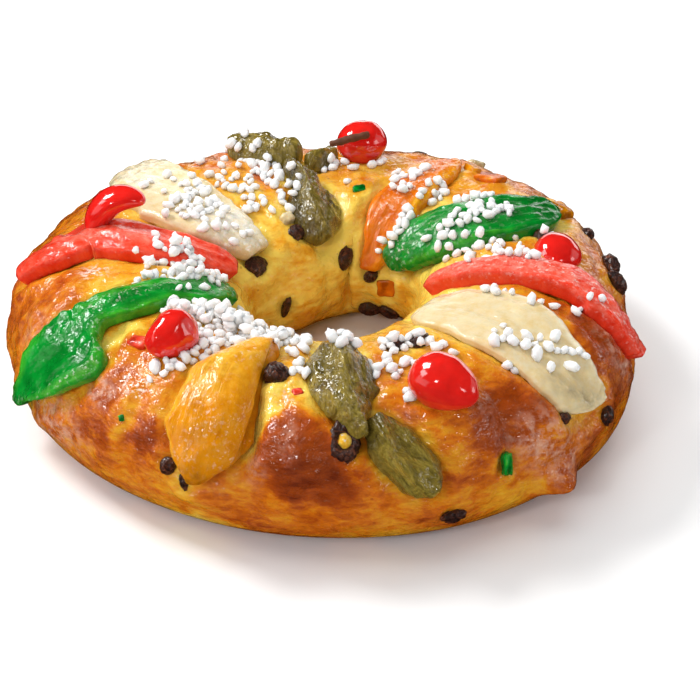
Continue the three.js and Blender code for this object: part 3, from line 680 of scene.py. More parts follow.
def painted_sheen_and_glints(add, place, colour):
    """Lays painted sheen (pale pinkish patches for soft reflections) and painted glints (white specks
    for highlights) over the crust's colour.
    """
    film = add("TexNoise", {"Scale": 1 / (4 * MM), "Detail": 5, "Roughness": 0.68}, {"Vector": place})
    flat = add("Mapping", {"Scale": (1, 1, 1.5)}, {"Vector": place})
    glint_specks = add("TexNoise", {"Scale": 1 / (2.2 * MM), "Detail": 3, "Roughness": 0.6}, {"Vector": flat})
    # Painted sheen, then painted glints: each one's pattern, the slope and offset that make it crisp,
    #     # share, area and colour
    for pattern, slope, offset, share, area, tint in (
            (film, 6.0, -2.6, 0.75, "film", 0xDCAC94), (glint_specks, 9.0, -4.5, 1.0, "glint", 0xFCF4E6)):
        crisp = {"operation": "MULTIPLY_ADD", "use_clamp": True, 1: slope, 2: offset}
        crisp = add("Math", crisp, {0: pattern})
        crisp = add("Math", {"operation": "MULTIPLY", 1: share}, {0: crisp})
        patch = add("Attribute", {"attribute_name": area}, output="Fac")
        amount = add("Math", {"operation": "MULTIPLY"}, {0: patch, 1: crisp})
        colour = add(
            "Mix", {"data_type": "RGBA", MIX_B: linear(tint)}, {FACTOR: amount, MIX_A: colour}, MIXED)
    return colour


def crust_relief(add, sizes, place):
    """Normals of the skin, with its pores and wrinkles, and of the smoother coat of wash on it."""
    flat = add("Mapping", {"Scale": (1, 1, 1.4)}, {"Vector": place})
    waves = add("TexNoise", {"Scale": 1 / (8 * MM), "Detail": 3, "Roughness": 0.5}, {"Vector": flat})
    # Real pores are about half this wide, which wouldn't show
    pores = add("TexNoise", {"Scale": 1 / (0.7 * MM), "Detail": 2, "Roughness": 0.55}, {"Vector": place})
    flat = add("Mapping", {"Scale": (1, 1, 2.0)}, {"Vector": place})
    wrinkles = {"Scale": 1 / sizes.wrinkle, "Detail": 4, "Roughness": 0.58, "Distortion": 1.0}
    wrinkles = add("TexNoise", wrinkles, {"Vector": flat})
    flat = add("Mapping", {"Scale": (1, 1, 1.6)}, {"Vector": place})
    ripples = {"Scale": 1 / (2.4 * MM), "Detail": 1, "Roughness": 0.5, "Distortion": 0.6}
    ripples = add("TexNoise", ripples, {"Vector": flat})
    skin = add("Bump", {"Strength": 0.5, "Distance": 0.15 * MM}, {"Height": pores})
    skin = add("Bump", {"Strength": 0.6, "Distance": 2.4 * MM}, {"Height": waves, "Normal": skin})
    skin = add("Bump", {"Strength": 0.6, "Distance": 0.85 * MM}, {"Height": wrinkles, "Normal": skin})
    coat = add("Bump", {"Strength": 0.6, "Distance": 2.4 * MM}, {"Height": waves})
    coat = add("Bump", {"Strength": 0.8, "Distance": 1.0 * MM}, {"Height": ripples, "Normal": coat})
    return skin, coat


def candied_slab(name, colours, sizes, top_share, frost, fibrous):
    """Fruit boiled in syrup and dried: translucent and fibrous along its length, under a smooth coat of
    wet syrup, with a crust of fine sugar that frosts the top and leaves the sides deep and clear. The
    fine white specks where it is sugared are partly sugar crystals and partly painted glints."""
    material, add = start_material(name)
    place = add("TexCoord", output="UV")
    solid = add("TexCoord", output="Object")
    along = add("Mapping", {"Scale": (0.14, 1, 1)}, {"Vector": place})
    fibres = {"Scale": 1 / (1.6 * sizes.fibre), "Detail": 4, "Roughness": 0.6, "Distortion": 0.4}
    fibres = add("TexNoise", fibres, {"Vector": along})
    mottle = add("TexNoise", {"Scale": 1 / (3.2 * MM), "Detail": 5, "Roughness": 0.7}, {"Vector": solid})
    flesh = slab_flesh(add, colours, top_share, fibrous, solid, fibres, mottle)
    colour, frosting = slab_frost(add, flesh, frost, solid, mottle)
    # Fine sugar's crystals are about 0.5 mm, drawn as coarse as they need to show
    grit = add("TexNoise", {"Scale": 1 / (0.9 * MM), "Detail": 3, "Roughness": 0.7}, {"Vector": solid})
    grit_share = add("Math", {"operation": "MULTIPLY_ADD", 1: 0.8, 2: 0.12}, {0: frosting})
    grit = add("Math", {"operation": "MULTIPLY"}, {0: grit, 1: grit_share})
    skin = add("Bump", {"Strength": 0.8, "Distance": 1.0 * MM}, {"Height": grit})
    skin = add("Bump", {"Strength": 0.7, "Distance": fibrous * MM}, {"Height": fibres, "Normal": skin})
    syrup = add("TexNoise", {"Scale": 1 / (2 * MM), "Detail": 1, "Roughness": 0.55}, {"Vector": solid})
    coat = add("Bump", {"Strength": 0.8, "Distance": 0.7 * MM}, {"Height": syrup})
    gloss = {"operation": "MULTIPLY_ADD", "use_clamp": True, 1: 0.3, 2: 0.16}
    gloss = add("Math", gloss, {0: frosting})
    finish_material(add, {
        "IOR": 1.47, "Specular IOR Level": 0.15,
        "Coat Weight": 0.75, "Coat Roughness": 0.05, "Coat IOR": 1.43,
        "Subsurface Weight": 0.25, "Subsurface Radius": (1.0, 0.6, 0.35), "Subsurface Scale": 2 * MM,
    }, {"Base Color": colour, "Roughness": gloss, "Normal": skin, "Coat Normal": coat})
    return material


def slab_flesh(add, colours, top_share, fibrous, solid, fibres, mottle):
    """Deep and clear fruit, lighter on its top and along its fibres, in ragged light and dark tones,
    which are partly its own colour and partly painted shade and painted glow.
    """
    colour, deep, top_colour, pale = colours
    clouds = add("TexNoise", {"Scale": 1 / (8 * MM), "Detail": 3, "Roughness": 0.55}, {"Vector": solid})
    depth = add("Math", {"operation": "MULTIPLY_ADD", "use_clamp": True, 1: 3.0, 2: -1.1}, {0: clouds})
    body = add("Mix", {"data_type": "RGBA", MIX_A: deep, MIX_B: colour}, {FACTOR: depth}, MIXED)
    top = add("Attribute", {"attribute_name": "top"}, output="Fac")
    skin = add("Math", {"operation": "MULTIPLY_ADD", "use_clamp": True, 1: 3.6, 2: -1.4}, {0: mottle})
    skin = add("Math", {"operation": "MULTIPLY"}, {0: top, 1: skin})
    skin = add("Math", {"operation": "MULTIPLY", 1: top_share}, {0: skin})
    strands = add("Math", {"operation": "MULTIPLY_ADD", "use_clamp": True, 1: 3.5, 2: -1.75}, {0: fibres})
    strands = add("Math", {"operation": "MULTIPLY", 1: 0.4 * fibrous}, {0: strands})
    # Tones lighten toward the pale colour, along thin edges as painted glow, and darken toward the deep
    # colour, in dents and along edges as painted shade
    tone = add("Attribute", {"attribute_name": "tone"}, output="Fac")
    ragged = add("Math", {"operation": "MULTIPLY_ADD", 1: 4.0, 2: -1.0}, {0: mottle})
    ragged = add("Math", {"operation": "MULTIPLY"}, {0: tone, 1: ragged})
    lighter = add("Math", {"operation": "MULTIPLY", "use_clamp": True, 1: 1.0}, {0: ragged})
    darker = add("Math", {"operation": "MULTIPLY", "use_clamp": True, 1: -1.0}, {0: ragged})
    coats = (skin, top_colour), (strands, top_colour), (lighter, pale), (darker, shade(deep, 0.55))
    for share, tint in coats:
        body = add("Mix", {"data_type": "RGBA", MIX_B: tint}, {FACTOR: share, MIX_A: body}, MIXED)
    return body


def slab_frost(add, body, frost, solid, mottle):
    """Whitens the fruit where it is sugared, with fine specks that are partly sugar crystals and
    partly painted glints, and gives how thickly the sugar lies.
    """
    frost_and_glint_area = add("Attribute", {"attribute_name": "frost"}, output="Fac")
    coarse = add("Math", {"operation": "MULTIPLY_ADD", "use_clamp": True, 1: 4.0, 2: -1.9}, {0: mottle})
    frosting = add("Math", {"operation": "MULTIPLY"}, {0: coarse, 1: frost_and_glint_area})
    # Fine white specks: partly sugar crystals, partly painted glints
    crystals_and_glints = add("TexNoise", {"Scale": 1 / (1.7 * MM), "Detail": 3, "Roughness": 0.6}, {"Vector": solid})
    crystals_and_glints = add(
        "Math", {"operation": "MULTIPLY_ADD", "use_clamp": True, 1: 10.0, 2: -5.6}, {0: crystals_and_glints})
    crystals_and_glints = add("Math", {"operation": "MULTIPLY"}, {0: crystals_and_glints, 1: frost_and_glint_area})
    white = {"operation": "MULTIPLY_ADD", "use_clamp": True, 1: frost}
    white = add("Math", white, {0: frosting, 2: crystals_and_glints})
    frosted = {"data_type": "RGBA", MIX_B: linear(FROST_AND_GLINT_WHITE)}
    return add("Mix", frosted, {FACTOR: white, MIX_A: body}, MIXED), frosting


def candied_fig(look):
    """Green fig boiled in syrup: olive and brown streaks, with seeds and pleats under a smooth wet coat."""
    material, add = start_material("candied_green_fig")
    place = add("TexCoord", output="UV")
    solid = add("TexCoord", output="Object")
    along = add("Mapping", {"Scale": (0.6, 1, 1)}, {"Vector": place})
    streaks = {"Scale": 1 / (3.4 * MM), "Detail": 5, "Roughness": 0.7, "Distortion": 1.6}
    streaks = add("TexNoise", streaks, {"Vector": along})
    olives = (
        (0.3, shade(look.fig, 0.25)), (0.43, shade(look.fig, 0.65)), (0.54, look.fig),
        (0.72, shade(look.fig, 1.7, 0.02)))
    colour = add("ValToRGB", {"color_ramp": olives}, {"Fac": streaks})
    patches = add("TexNoise", {"Scale": 1 / (8 * MM), "Detail": 3, "Roughness": 0.6}, {"Vector": solid})
    brown = add("Math", {"operation": "MULTIPLY_ADD", "use_clamp": True, 1: 4.0, 2: -2.1}, {0: patches})
    brown = add("Math", {"operation": "MULTIPLY", 1: 0.7}, {0: brown})
    # A tone below 0 darkens toward near black: all over on some figs, which is their colour, and along
    # edges and in hollows on others, which is painted shade
    tone = add("Attribute", {"attribute_name": "tone"}, output="Fac")
    deep = add("Math", {"operation": "MULTIPLY", "use_clamp": True, 1: -1.0}, {0: tone})
    for share, tint in ((brown, 0x4E2E10), (deep, 0x2E2410)):
        colour = add(
            "Mix", {"data_type": "RGBA", MIX_B: linear(tint)}, {FACTOR: share, MIX_A: colour}, MIXED)
    seeds = add("TexNoise", {"Scale": 1 / (1.1 * MM), "Detail": 3, "Roughness": 0.65}, {"Vector": solid})
    along = add("Mapping", {"Scale": (0.4, 1, 1)}, {"Vector": place})
    pleats = {"Scale": 1 / (4 * MM), "Detail": 3, "Roughness": 0.55, "Distortion": 0.8}
    pleats = add("TexNoise", pleats, {"Vector": along})
    skin = add("Bump", {"Strength": 0.9, "Distance": 0.6 * MM}, {"Height": seeds})
    skin = add("Bump", {"Strength": 0.7, "Distance": 0.8 * MM}, {"Height": streaks, "Normal": skin})
    skin = add("Bump", {"Strength": 0.9, "Distance": 3 * MM}, {"Height": pleats, "Normal": skin})
    syrup = add("TexNoise", {"Scale": 1 / (2.2 * MM), "Detail": 1, "Roughness": 0.55}, {"Vector": solid})
    coat = add("Bump", {"Strength": 0.9, "Distance": 1.2 * MM}, {"Height": syrup})
    finish_material(add, {
        "IOR": 1.48, "Roughness": 0.25, "Specular IOR Level": 0.25,
        "Coat Weight": 1.0, "Coat Roughness": 0.05, "Coat IOR": 1.5,
        "Subsurface Weight": 0.2, "Subsurface Radius": (0.8, 0.7, 0.25), "Subsurface Scale": 2.5 * MM,
    }, {"Base Color": colour, "Normal": skin, "Coat Normal": coat})
    return material


def glace_cherry(look):
    """Cherry soaked in red syrup: glassy, clear red that darkens where it is deep."""
    material, add = start_material("glace_cherry")
    solid = add("TexCoord", output="Object")
    clouds = add("TexNoise", {"Scale": 1 / (7 * MM), "Detail": 3, "Roughness": 0.55}, {"Vector": solid})
    reds = {"data_type": "RGBA", MIX_A: shade(look.cherry, 0.6), MIX_B: shade(look.cherry, 1.35)}
    colour = add("Mix", reds, {FACTOR: clouds}, MIXED)
    dents = add("TexNoise", {"Scale": 1 / (3.5 * MM), "Detail": 2, "Roughness": 0.55}, {"Vector": solid})
    skin = add("Bump", {"Strength": 0.35, "Distance": 0.35 * MM}, {"Height": dents})
    finish_material(add, {
        "IOR": 1.47, "Roughness": 0.12, "Coat Weight": 1.0, "Coat Roughness": 0.03, "Coat IOR": 1.5,
        "Subsurface Weight": 0.45, "Subsurface Radius": (1.0, 0.12, 0.1), "Subsurface Scale": 3.5 * MM,
    }, {"Base Color": colour, "Normal": skin})
    return material


def baked_raisin(look):
    """Dried grape, baked in: near black, wrinkled, with a sticky shine on its folds."""
    material, add = start_material("baked_raisin")
    solid = add("TexCoord", output="Object")
    folds = {"Scale": 1 / (1.6 * MM), "Detail": 4, "Roughness": 0.6, "Distortion": 1.2}
    folds = add("TexNoise", folds, {"Vector": solid})
    browns = (0.35, shade(look.raisin, 0.3)), (0.52, look.raisin), (0.7, linear(0x7E4428))
    colour = add("ValToRGB", {"color_ramp": browns}, {"Fac": folds})
    skin = add("Bump", {"Strength": 0.9, "Distance": 1.1 * MM}, {"Height": folds})
    finish_material(
        add, {"IOR": 1.45, "Roughness": 0.34, "Coat Weight": 0.4, "Coat Roughness": 0.12},
        {"Base Color": colour, "Normal": skin})
    return material


def pearl_sugar(look):
    """Pressed sugar nibs: chalk white, faintly translucent, with crystal sparkle in their grit."""
    material, add = start_material("pearl_sugar")
    solid = add("TexCoord", output="Object")
    # The crystals in a nib are about 0.4 mm, drawn twice as coarse so that they show
    grit = add("TexNoise", {"Scale": 1 / (0.8 * MM), "Detail": 3, "Roughness": 0.7}, {"Vector": solid})
    whites = {"data_type": "RGBA", MIX_A: shade(look.sugar, 0.9), MIX_B: look.sugar}
    colour = add("Mix", whites, {FACTOR: grit}, MIXED)
    skin = add("Bump", {"Strength": 0.6, "Distance": 0.35 * MM}, {"Height": grit})
    finish_material(add, {
        "IOR": 1.53, "Roughness": 0.35,
        "Subsurface Weight": 0.8, "Subsurface Radius": (1.0, 0.92, 0.88), "Subsurface Scale": 2.2 * MM,
    }, {"Base Color": colour, "Normal": skin})
    return material


def dry_stalk(look):
    """Dried stem: matt brown wood with grooves along it."""
    material, add = start_material("dry_stalk")
    place = add("TexCoord", output="UV")
    along = add("Mapping", {"Scale": (0.2, 1, 1)}, {"Vector": place})
    grooves = add("TexNoise", {"Scale": 1 / (0.8 * MM), "Detail": 3, "Roughness": 0.6}, {"Vector": along})
    browns = {"data_type": "RGBA", MIX_A: shade(look.stalk, 0.35), MIX_B: shade(look.stalk, 2)}
    colour = add("Mix", browns, {FACTOR: grooves}, MIXED)
    bark = add("Bump", {"Strength": 0.8, "Distance": 0.5 * MM}, {"Height": grooves})
    finish_material(add, {"Roughness": 0.6, "IOR": 1.45}, {"Base Color": colour, "Normal": bark})
    return material


def studio_floor(look):
    """Matt white card: even, with the faintest tooth."""
    material, add = start_material("studio_floor")
    solid = add("TexCoord", output="Object")
    tooth = add("TexNoise", {"Scale": 1 / (40 * MM), "Detail": 2, "Roughness": 0.55}, {"Vector": solid})
    whites = {"data_type": "RGBA", MIX_A: shade(look.floor, 0.985), MIX_B: look.floor}
    colour = add("Mix", whites, {FACTOR: tooth}, MIXED)
    finish_material(
        add, {"Roughness": 0.55, "IOR": 1.4, "Specular IOR Level": 0.3}, {"Base Color": colour})
    return material


def finish_of(name):
    """The material of a finish, made once."""
    if name in bpy.data.materials:
        return bpy.data.materials[name]
    look = bpy.context.scene.roscon_colours
    sizes = bpy.context.scene.roscon_sizes
    if name in SLAB_LOOKS:
        own, *others, top_share, frost, fibrous = SLAB_LOOKS[name]
        colours = tuple(getattr(look, own)), *map(linear, others)
        return candied_slab(name, colours, sizes, top_share, frost, fibrous)
    if name == "egg_washed_crust":
        return egg_washed_crust(look, sizes)
    makers = {
        "candied_green_fig": candied_fig, "glace_cherry": glace_cherry, "baked_raisin": baked_raisin,
        "pearl_sugar": pearl_sugar, "dry_stalk": dry_stalk, "studio_floor": studio_floor,
    }
    return makers[name](look)


# ------------------------------------------------------------------ making a piece

def lattice(lengthwise, across, through):
    """A block from -1 to 1 whose faces are split evenly, by numbers of faces along X, Y and Z."""
    bm = bmesh.new()
    bmesh.ops.create_cube(bm, size=2)
    for axis, count in enumerate((lengthwise, across, through)):
        edges = [e for e in bm.edges if abs(e.verts[0].co[axis] - e.verts[1].co[axis]) > 1e-6]
        bmesh.ops.subdivide_edges(bm, edges=edges, cuts=count - 1, use_grid_fill=True)
    return bm


def spun_ring(radius, tube, section_steps, ring_steps):
    """A ring spun from a circle whose middle stands "radius" away from the axis."""
    bm = bmesh.new()
    bmesh.ops.create_circle(
        bm, segments=section_steps, radius=tube,
        matrix=Matrix.Translation((radius, 0, 0)) @ Matrix.Rotation(math.pi / 2, 4, "X"))
    bmesh.ops.spin(
        bm, geom=bm.verts[:] + bm.edges[:], cent=(0, 0, 0), axis=(0, 0, 1),
        angle=2 * math.pi, steps=ring_steps, use_merge=True)
    return bm


def positions(bm):
    """The places of a bmesh's vertices, as rows of an array."""
    return np.array([v.co for v in bm.verts], float).reshape(-1, 3)


def rounded(block, side, end):
    """Rounds a block's section by one power and its ends by another: 2 is round, 12 nearly square."""
    length, width, depth = block.T
    reach = np.maximum(np.abs(width), np.abs(depth))
    section = (np.abs(width) ** side + np.abs(depth) ** side) ** (1 / side)
    shrink = reach / np.maximum(section, 1e-9)
    far = np.maximum(np.abs(length), reach)
    whole = (np.abs(length) ** end + reach ** end) ** (1 / end)
    ends = far / np.maximum(whole, 1e-9)
    return np.stack([length * ends, width * shrink * ends, depth * shrink * ends], axis=-1)


def add_piece(bm, name, points, finish, nodes=(), values=None, uv=None):
    """Puts a bmesh's points (mm) in place and makes it a piece of the ring with its finish.

    Values give a number to each point, for the finish to read, and uv its place on the surface (mm).
    """
    for vert, point in zip(bm.verts, points * MM):
        vert.co = point
    bmesh.ops.recalc_face_normals(bm, faces=bm.faces)
    if bm.calc_volume(signed=True) < 0:
        bmesh.ops.reverse_faces(bm, faces=bm.faces)
    for face in bm.faces:
        face.smooth = True
    mesh = bpy.data.meshes.new(name)
    bm.to_mesh(mesh)
    bm.free()
    for key, value in (values or {}).items():
        numbers = mesh.attributes.new(key, "FLOAT", "POINT").data
        numbers.foreach_set("value", value.astype(np.float32))
    if uv is not None:
        corner = np.zeros(len(mesh.loops), np.int32)
        mesh.loops.foreach_get("vertex_index", corner)
        places = (uv * MM)[corner].astype(np.float32)
        mesh.uv_layers.new(name="surface").data.foreach_set("uv", places.ravel())
    mesh.materials.append(finish_of(finish))
    piece = bpy.data.objects.new(name, mesh)
    bpy.context.scene.collection.objects.link(piece)
    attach(piece, RIGID_ROOT)
    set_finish(piece, SLOT_OF[finish])
    if nodes:
        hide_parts(*nodes)


def settle(shape, around, over, size, turn, centre):
    """Sets a shape of unit size on the skin: half sizes in mm, a turn, and its middle's lift."""
    along, up, out, _, _ = skin_frame(around, over)
    angle = math.radians(turn)
    scaled = shape * np.array(size, float)
    x = scaled[:, 0] * math.cos(angle) - scaled[:, 1] * math.sin(angle)
    y = scaled[:, 0] * math.sin(angle) + scaled[:, 1] * math.cos(angle)
    middle = lifted(around, over, centre)
    return middle + x[:, None] * along + y[:, None] * up + scaled[:, 2:3] * out


# ------------------------------------------------------------------ slabs of candied fruit

def along_stops(stops, part):
    """A smooth line through stops, read at parts of its length from 0 to 1."""
    line = np.array(stops, float)
    line = np.vstack([2 * line[0] - line[1], line, 2 * line[-1] - line[-2]])
    place = np.clip(part, 0, 1) * (len(line) - 3)
    step = np.minimum(place.astype(int), len(line) - 4)
    t = (place - step)[:, None]
    before, start, end, after = (line[step + k] for k in range(4))
    bend = 2 * before - 5 * start + 4 * end - after
    curl = 3 * (start - end) + after - before
    return start + 0.5 * t * (end - before + t * (bend + t * curl))


def heading(stops, part, step):
    """Which way a line through stops runs at parts of its length, measured over a step each way."""
    return along_stops(stops, np.minimum(part + step, 1)) - along_stops(stops, np.maximum(part - step, 0))


def slab_length(stops):
    """The length of a slab's middle line over the dough, in mm."""
    line = along_stops(stops, np.linspace(0, 1, 60))
    steps = np.diff(dough_skin(line[:, 1], line[:, 0]), axis=0)
    return float(np.linalg.norm(steps, axis=-1).sum())


def slab_spots(table, part, across, length, half_width):
    """Adds up spots given by part along, place across, spreads in mm along and across, amount."""
    total = np.zeros(len(part))
    for at, beside, spread_along, spread_across, amount in table:
        a = (part - at) * length / spread_along
        b = (across - beside) * half_width / spread_across
        total += amount * np.exp(-(a * a + b * b))
    return total


def slab_places(block, stops, length, seed, straight):
    """Where a slab's points lie along and across it (mm), and their two angles on the dough.

    The ends of a straight slab lie along "around"; the others are square to its line.
    """
    part = (block[:, 0] + 1) / 2
    middle = along_stops(stops, part)
    _, _, _, around_pace, over_pace = skin_frame(middle[:, 1], middle[:, 0])
    runs = heading(stops, part, SLAB_HEADING_STEP)
    turned = runs[:, 1] * around_pace * (0 if straight else 1)
    ahead = unit(np.stack([turned, runs[:, 0] * over_pace], axis=-1))
    edge = np.stack([part * length, np.sign(block[:, 1]) * EDGE_APART, part * 0], axis=-1)
    ragged = RAGGED_EDGE[1] * grain(edge, RAGGED_EDGE[0], seed, octaves=3)
    across = block[:, 1] * (middle[:, 2] / 2 + ragged)
    around = middle[:, 1] - ahead[:, 1] * across / around_pace
    over = middle[:, 0] + ahead[:, 0] * across / over_pace
    return np.stack([part * length, across, part * 0], axis=-1), around, over


def make_slab(name, finish, thickness, dome, side, end, stops, rises=(), frosts_and_glints=(), tones_and_painted_light=(),
              rough=0.3, straight=False):
    """One slab of candied fruit, draped over the dough along its stops."""
    length = slab_length(stops)
    widest = max(stop[2] for stop in stops)
    bm = lattice(int(length / SLAB_FACE), max(SLAB_LEAST_FACES, int(widest / SLAB_FACE)), SLAB_LAYERS)
    block = rounded(positions(bm), side, end)
    seed = float(sum(map(ord, name)) % 97)
    flat, around, over = slab_places(block, stops, length, seed, straight)
    part = (block[:, 0] + 1) / 2
    raised = (block[:, 2] + 1) / 2
    spots = part, block[:, 1], length, along_stops(stops, part)[:, 2] / 2
    waves = SLAB_WAVES[1] * grain(flat, SLAB_WAVES[0], seed + 1, octaves=3)
    lumps = rough * grain(flat * SLAB_LUMP_STRETCH, SLAB_LUMP, seed + 2, octaves=3)
    crown = np.maximum(1 - dome * np.abs(block[:, 1]) ** SLAB_DOME[0], SLAB_DOME[1])
    top = thickness * crown + waves + slab_spots(rises, *spots) + lumps
    points = lifted(around, over, -SLAB_ROOT + raised * (top + SLAB_ROOT))
    values = {
        "top": smooth_step(*SLAB_TOP, raised),
        "frost": np.clip(slab_spots(frosts_and_glints, *spots), 0, 1) * smooth_step(*SLAB_FROST_LINE, raised),
        "tone": slab_spots(tones_and_painted_light, *spots),
    }
    add_piece(bm, "slab_" + name, points, finish, [name], values, flat[:, :2])


# ------------------------------------------------------------------ the dough

def fruit_distance(points):
    """Millimetres from points on the dough to the edge of the nearest slab and round piece."""
    slab = np.full(len(points), FAR_AWAY)
    for entry in SLABS.values():
        line = along_stops(entry["stops"], np.linspace(0, 1, 50))
        for centre, width in zip(dough_skin(line[:, 1], line[:, 0]), line[:, 2]):
            slab = np.minimum(slab, np.linalg.norm(points - centre, axis=-1) - width / 2)
    balls = [
        (lifted(around, over, lift), radius)
        for around, over, radius, _, lift, *_ in CHERRIES.values()]
    small = [row[:4] for row in RAISINS + SMALL_RAISINS]
    small += [row[1:5] for row in (*DICE.values(), *SMALL_DICE.values())]
    balls += [(dough_skin(around, over), (length + width) / 4) for around, over, length, width in small]
    ball = np.full(len(points), FAR_AWAY)
    for middle, radius in balls:
        ball = np.minimum(ball, np.linalg.norm(points - middle, axis=-1) - radius)
    return slab, ball


def puff(distance, rise, reach, spread):
    """How far the dough rises beside a piece, most at its reach from the edge, in mm."""
    return rise * np.exp(-(((distance - reach) / spread) ** 2))


def dough_relief(skin, around, over, slab, ball):
    """How far the baked dough stands from its plain skin, in mm: puffed beside the fruit."""
    bed = -BED_DEPTH * smooth_step(*BED_WALL, slab)
    shoulder = puff(slab, *SLAB_PUFF) + puff(ball, *ROUND_PUFF)
    folds = 0.8 * grain(skin * (1, 1, 0.7), 16, seed=2, octaves=3)
    folds += 0.35 * grain(skin, 6, seed=4, octaves=3)
    folds += bumps(CRUST_FOLDS, around, over)
    outside = over > 270
    outer_fade = smooth_step(*OUTER_SKIRT_FADE, np.where(outside, over - FULL_TURN, over))
    inner_fade = smooth_step(*INNER_SKIRT_FADE, over)
    return (bed + shoulder + folds) * np.where(outside, outer_fade, np.where(over > 180, inner_fade, 1))


def dough_bake(skin, around, over, slab, ball):
    """How deeply the crust is baked: ragged patches, and pale crumb in patches beside the fruit."""
    signed = np.where(over > 270, over - FULL_TURN, over)
    sway_around = 1.5 * grain(skin, 8, seed=21, octaves=3)
    sway_over = 6 * grain(skin, 8, seed=22, octaves=3)
    bake = np.interp(signed, BAKE_OVER, BAKE_DEPTH)
    bake += bumps(BAKE_PATCHES, around + sway_around, over + sway_over)
    bake += 0.07 * grain(skin, 26, seed=7, octaves=2)
    patchy = np.clip(0.65 + 0.9 * grain(skin, 14, seed=23, octaves=2), 0, 1.3)
    by_slabs = SLAB_SHELTER[0] * np.exp(-np.maximum(slab, 0) / SLAB_SHELTER[1]) * patchy
    by_balls = ROUND_SHELTER[0] * np.exp(-np.maximum(ball, 0) / ROUND_SHELTER[1])
    return bake - by_slabs - by_balls


def make_dough(sizes):
    """The ring of dough: a section spun round, with every point set by its two angles."""
    bm = spun_ring(SPIN_RADIUS, 1, sizes.section_steps, sizes.dough_steps)
    x, y, z = positions(bm).T
    around = np.mod(np.degrees(np.arctan2(y, x)), FULL_TURN)
    over = np.mod(np.degrees(np.arctan2(z, np.hypot(x, y) - SPIN_RADIUS)), FULL_TURN)
    skin = dough_skin(around, over)
    slab, ball = fruit_distance(skin)
    points = lifted(around, over, dough_relief(skin, around, over, slab, ball))
    points[:, 2] = np.maximum(points[:, 2], 0)
    values = {
        "bake": dough_bake(skin, around, over, slab, ball),
        # Where painted sheen and painted glints lie over the crust's colour
        "film": bumps(PAINTED_SHEEN_PATCHES, around, over),
        "glint": bumps(GLINT_PATCHES, around, over),
    }
    add_piece(bm, "baked_dough", points, "egg_washed_crust", ["dough"], values)


# ------------------------------------------------------------------ cherries, raisins and dice

def bent_over(ball, degrees):
    """Bends a ball's Y over into a hook that is thick at its foot and thin at its tip."""
    half = math.radians(degrees) / 2
    lean = ball[:, 1] * half - HOOK_LEAN
    thick = HOOK_THICKNESS[0] - HOOK_THICKNESS[1] * ball[:, 1]
    wide = HOOK_WIDTH[0] - HOOK_WIDTH[1] * ball[:, 1]
    reach = 1 / half + ball[:, 2] * thick
    return np.stack(
        [ball[:, 0] * wide, reach * np.sin(lean), reach * np.cos(lean) - HOOK_SINK], axis=-1)


def make_cherry(name, around, over, radius, tall, lift, turn, taper, uneven, seed, bend):
    """A glace cherry, narrowed to one side by its taper; one that is bent is half a cherry."""
    bm = bmesh.new()
    bmesh.ops.create_uvsphere(bm, u_segments=64, v_segments=40, radius=1)
    ball = positions(bm)
    ball *= 1 + uneven * grain(ball * 10, 9, seed, octaves=2)[:, None]
    ball[:, 0] *= 1 + taper * np.maximum(ball[:, 0], 0) ** 2
    if bend:
        ball = bent_over(ball, bend)
    points = settle(ball, around, over, (radius, radius * 0.96, radius * tall), turn, lift)
    add_piece(bm, "glace_" + name, points, "glace_cherry", [name])


def make_stalk():
    """A thin dry stalk, set from its cherry's middle."""
    around, over, _, _, lift, *_ = CHERRIES[STALK_CHERRY]
    bm = lattice(40, 5, 5)
    block = rounded(positions(bm), 2, 8)
    part = (block[:, 0] + 1) / 2
    line = lifted(around, over, lift) + along_stops(STALK_STOPS, part)
    ahead = unit(heading(STALK_STOPS, part, 0.01))
    beside = unit(np.cross(ahead, (0, 0, 1.0)))
    above = np.cross(beside, ahead)
    bark = grain(np.stack([part * STALK_LENGTH, block[:, 1], block[:, 2]], -1), 3, seed=6, octaves=2)
    offset = block[:, 1:] * (STALK_RADIUS * (1 + 0.2 * bark))[:, None]
    points = line + beside * offset[:, :1] + above * offset[:, 1:]
    uv = np.stack([part * STALK_LENGTH, block[:, 1] * STALK_RADIUS], axis=-1)
    add_piece(bm, "dry_stalk", points, "dry_stalk", ["stalk"], None, uv)


def make_raisin(name, nodes, around, over, length, width, height, turn, seed):
    """A raisin, half sunk in the crust and drawn in between its ridges."""
    bm = bmesh.new()
    bmesh.ops.create_icosphere(bm, subdivisions=4, radius=1)
    ball = positions(bm)
    ridges = 1 - np.abs(grain(ball * 10, 7, seed, octaves=2))
    ball *= (0.86 + 0.24 * ridges)[:, None]
    points = settle(ball, around, over, (length / 2, width / 2, height / 2), turn, height * SMALL_LIFT)
    add_piece(bm, name, points, "baked_raisin", nodes)


def make_dice(name, nodes, finish, around, over, length, width, height, turn, seed):
    """A small cut of candied fruit with worn edges."""
    bm = lattice(10, 9, 8)
    cube = rounded(positions(bm), 4, 5)
    cube *= 1 + 0.1 * grain(cube * 10, 9, seed, octaves=2)[:, None]
    points = settle(cube, around, over, (length / 2, width / 2, height / 2), turn, height * SMALL_LIFT)
    values = {
        "top": smooth_step(0.2, 0.8, cube[:, 2]),
        "frost": np.zeros(len(cube)),
        "tone": 0.7 * grain(cube * 10, 12, seed + 1, octaves=2) - 0.4,
    }
    add_piece(bm, name, points, finish, nodes, values, cube[:, :2] * (length / 2, width / 2))


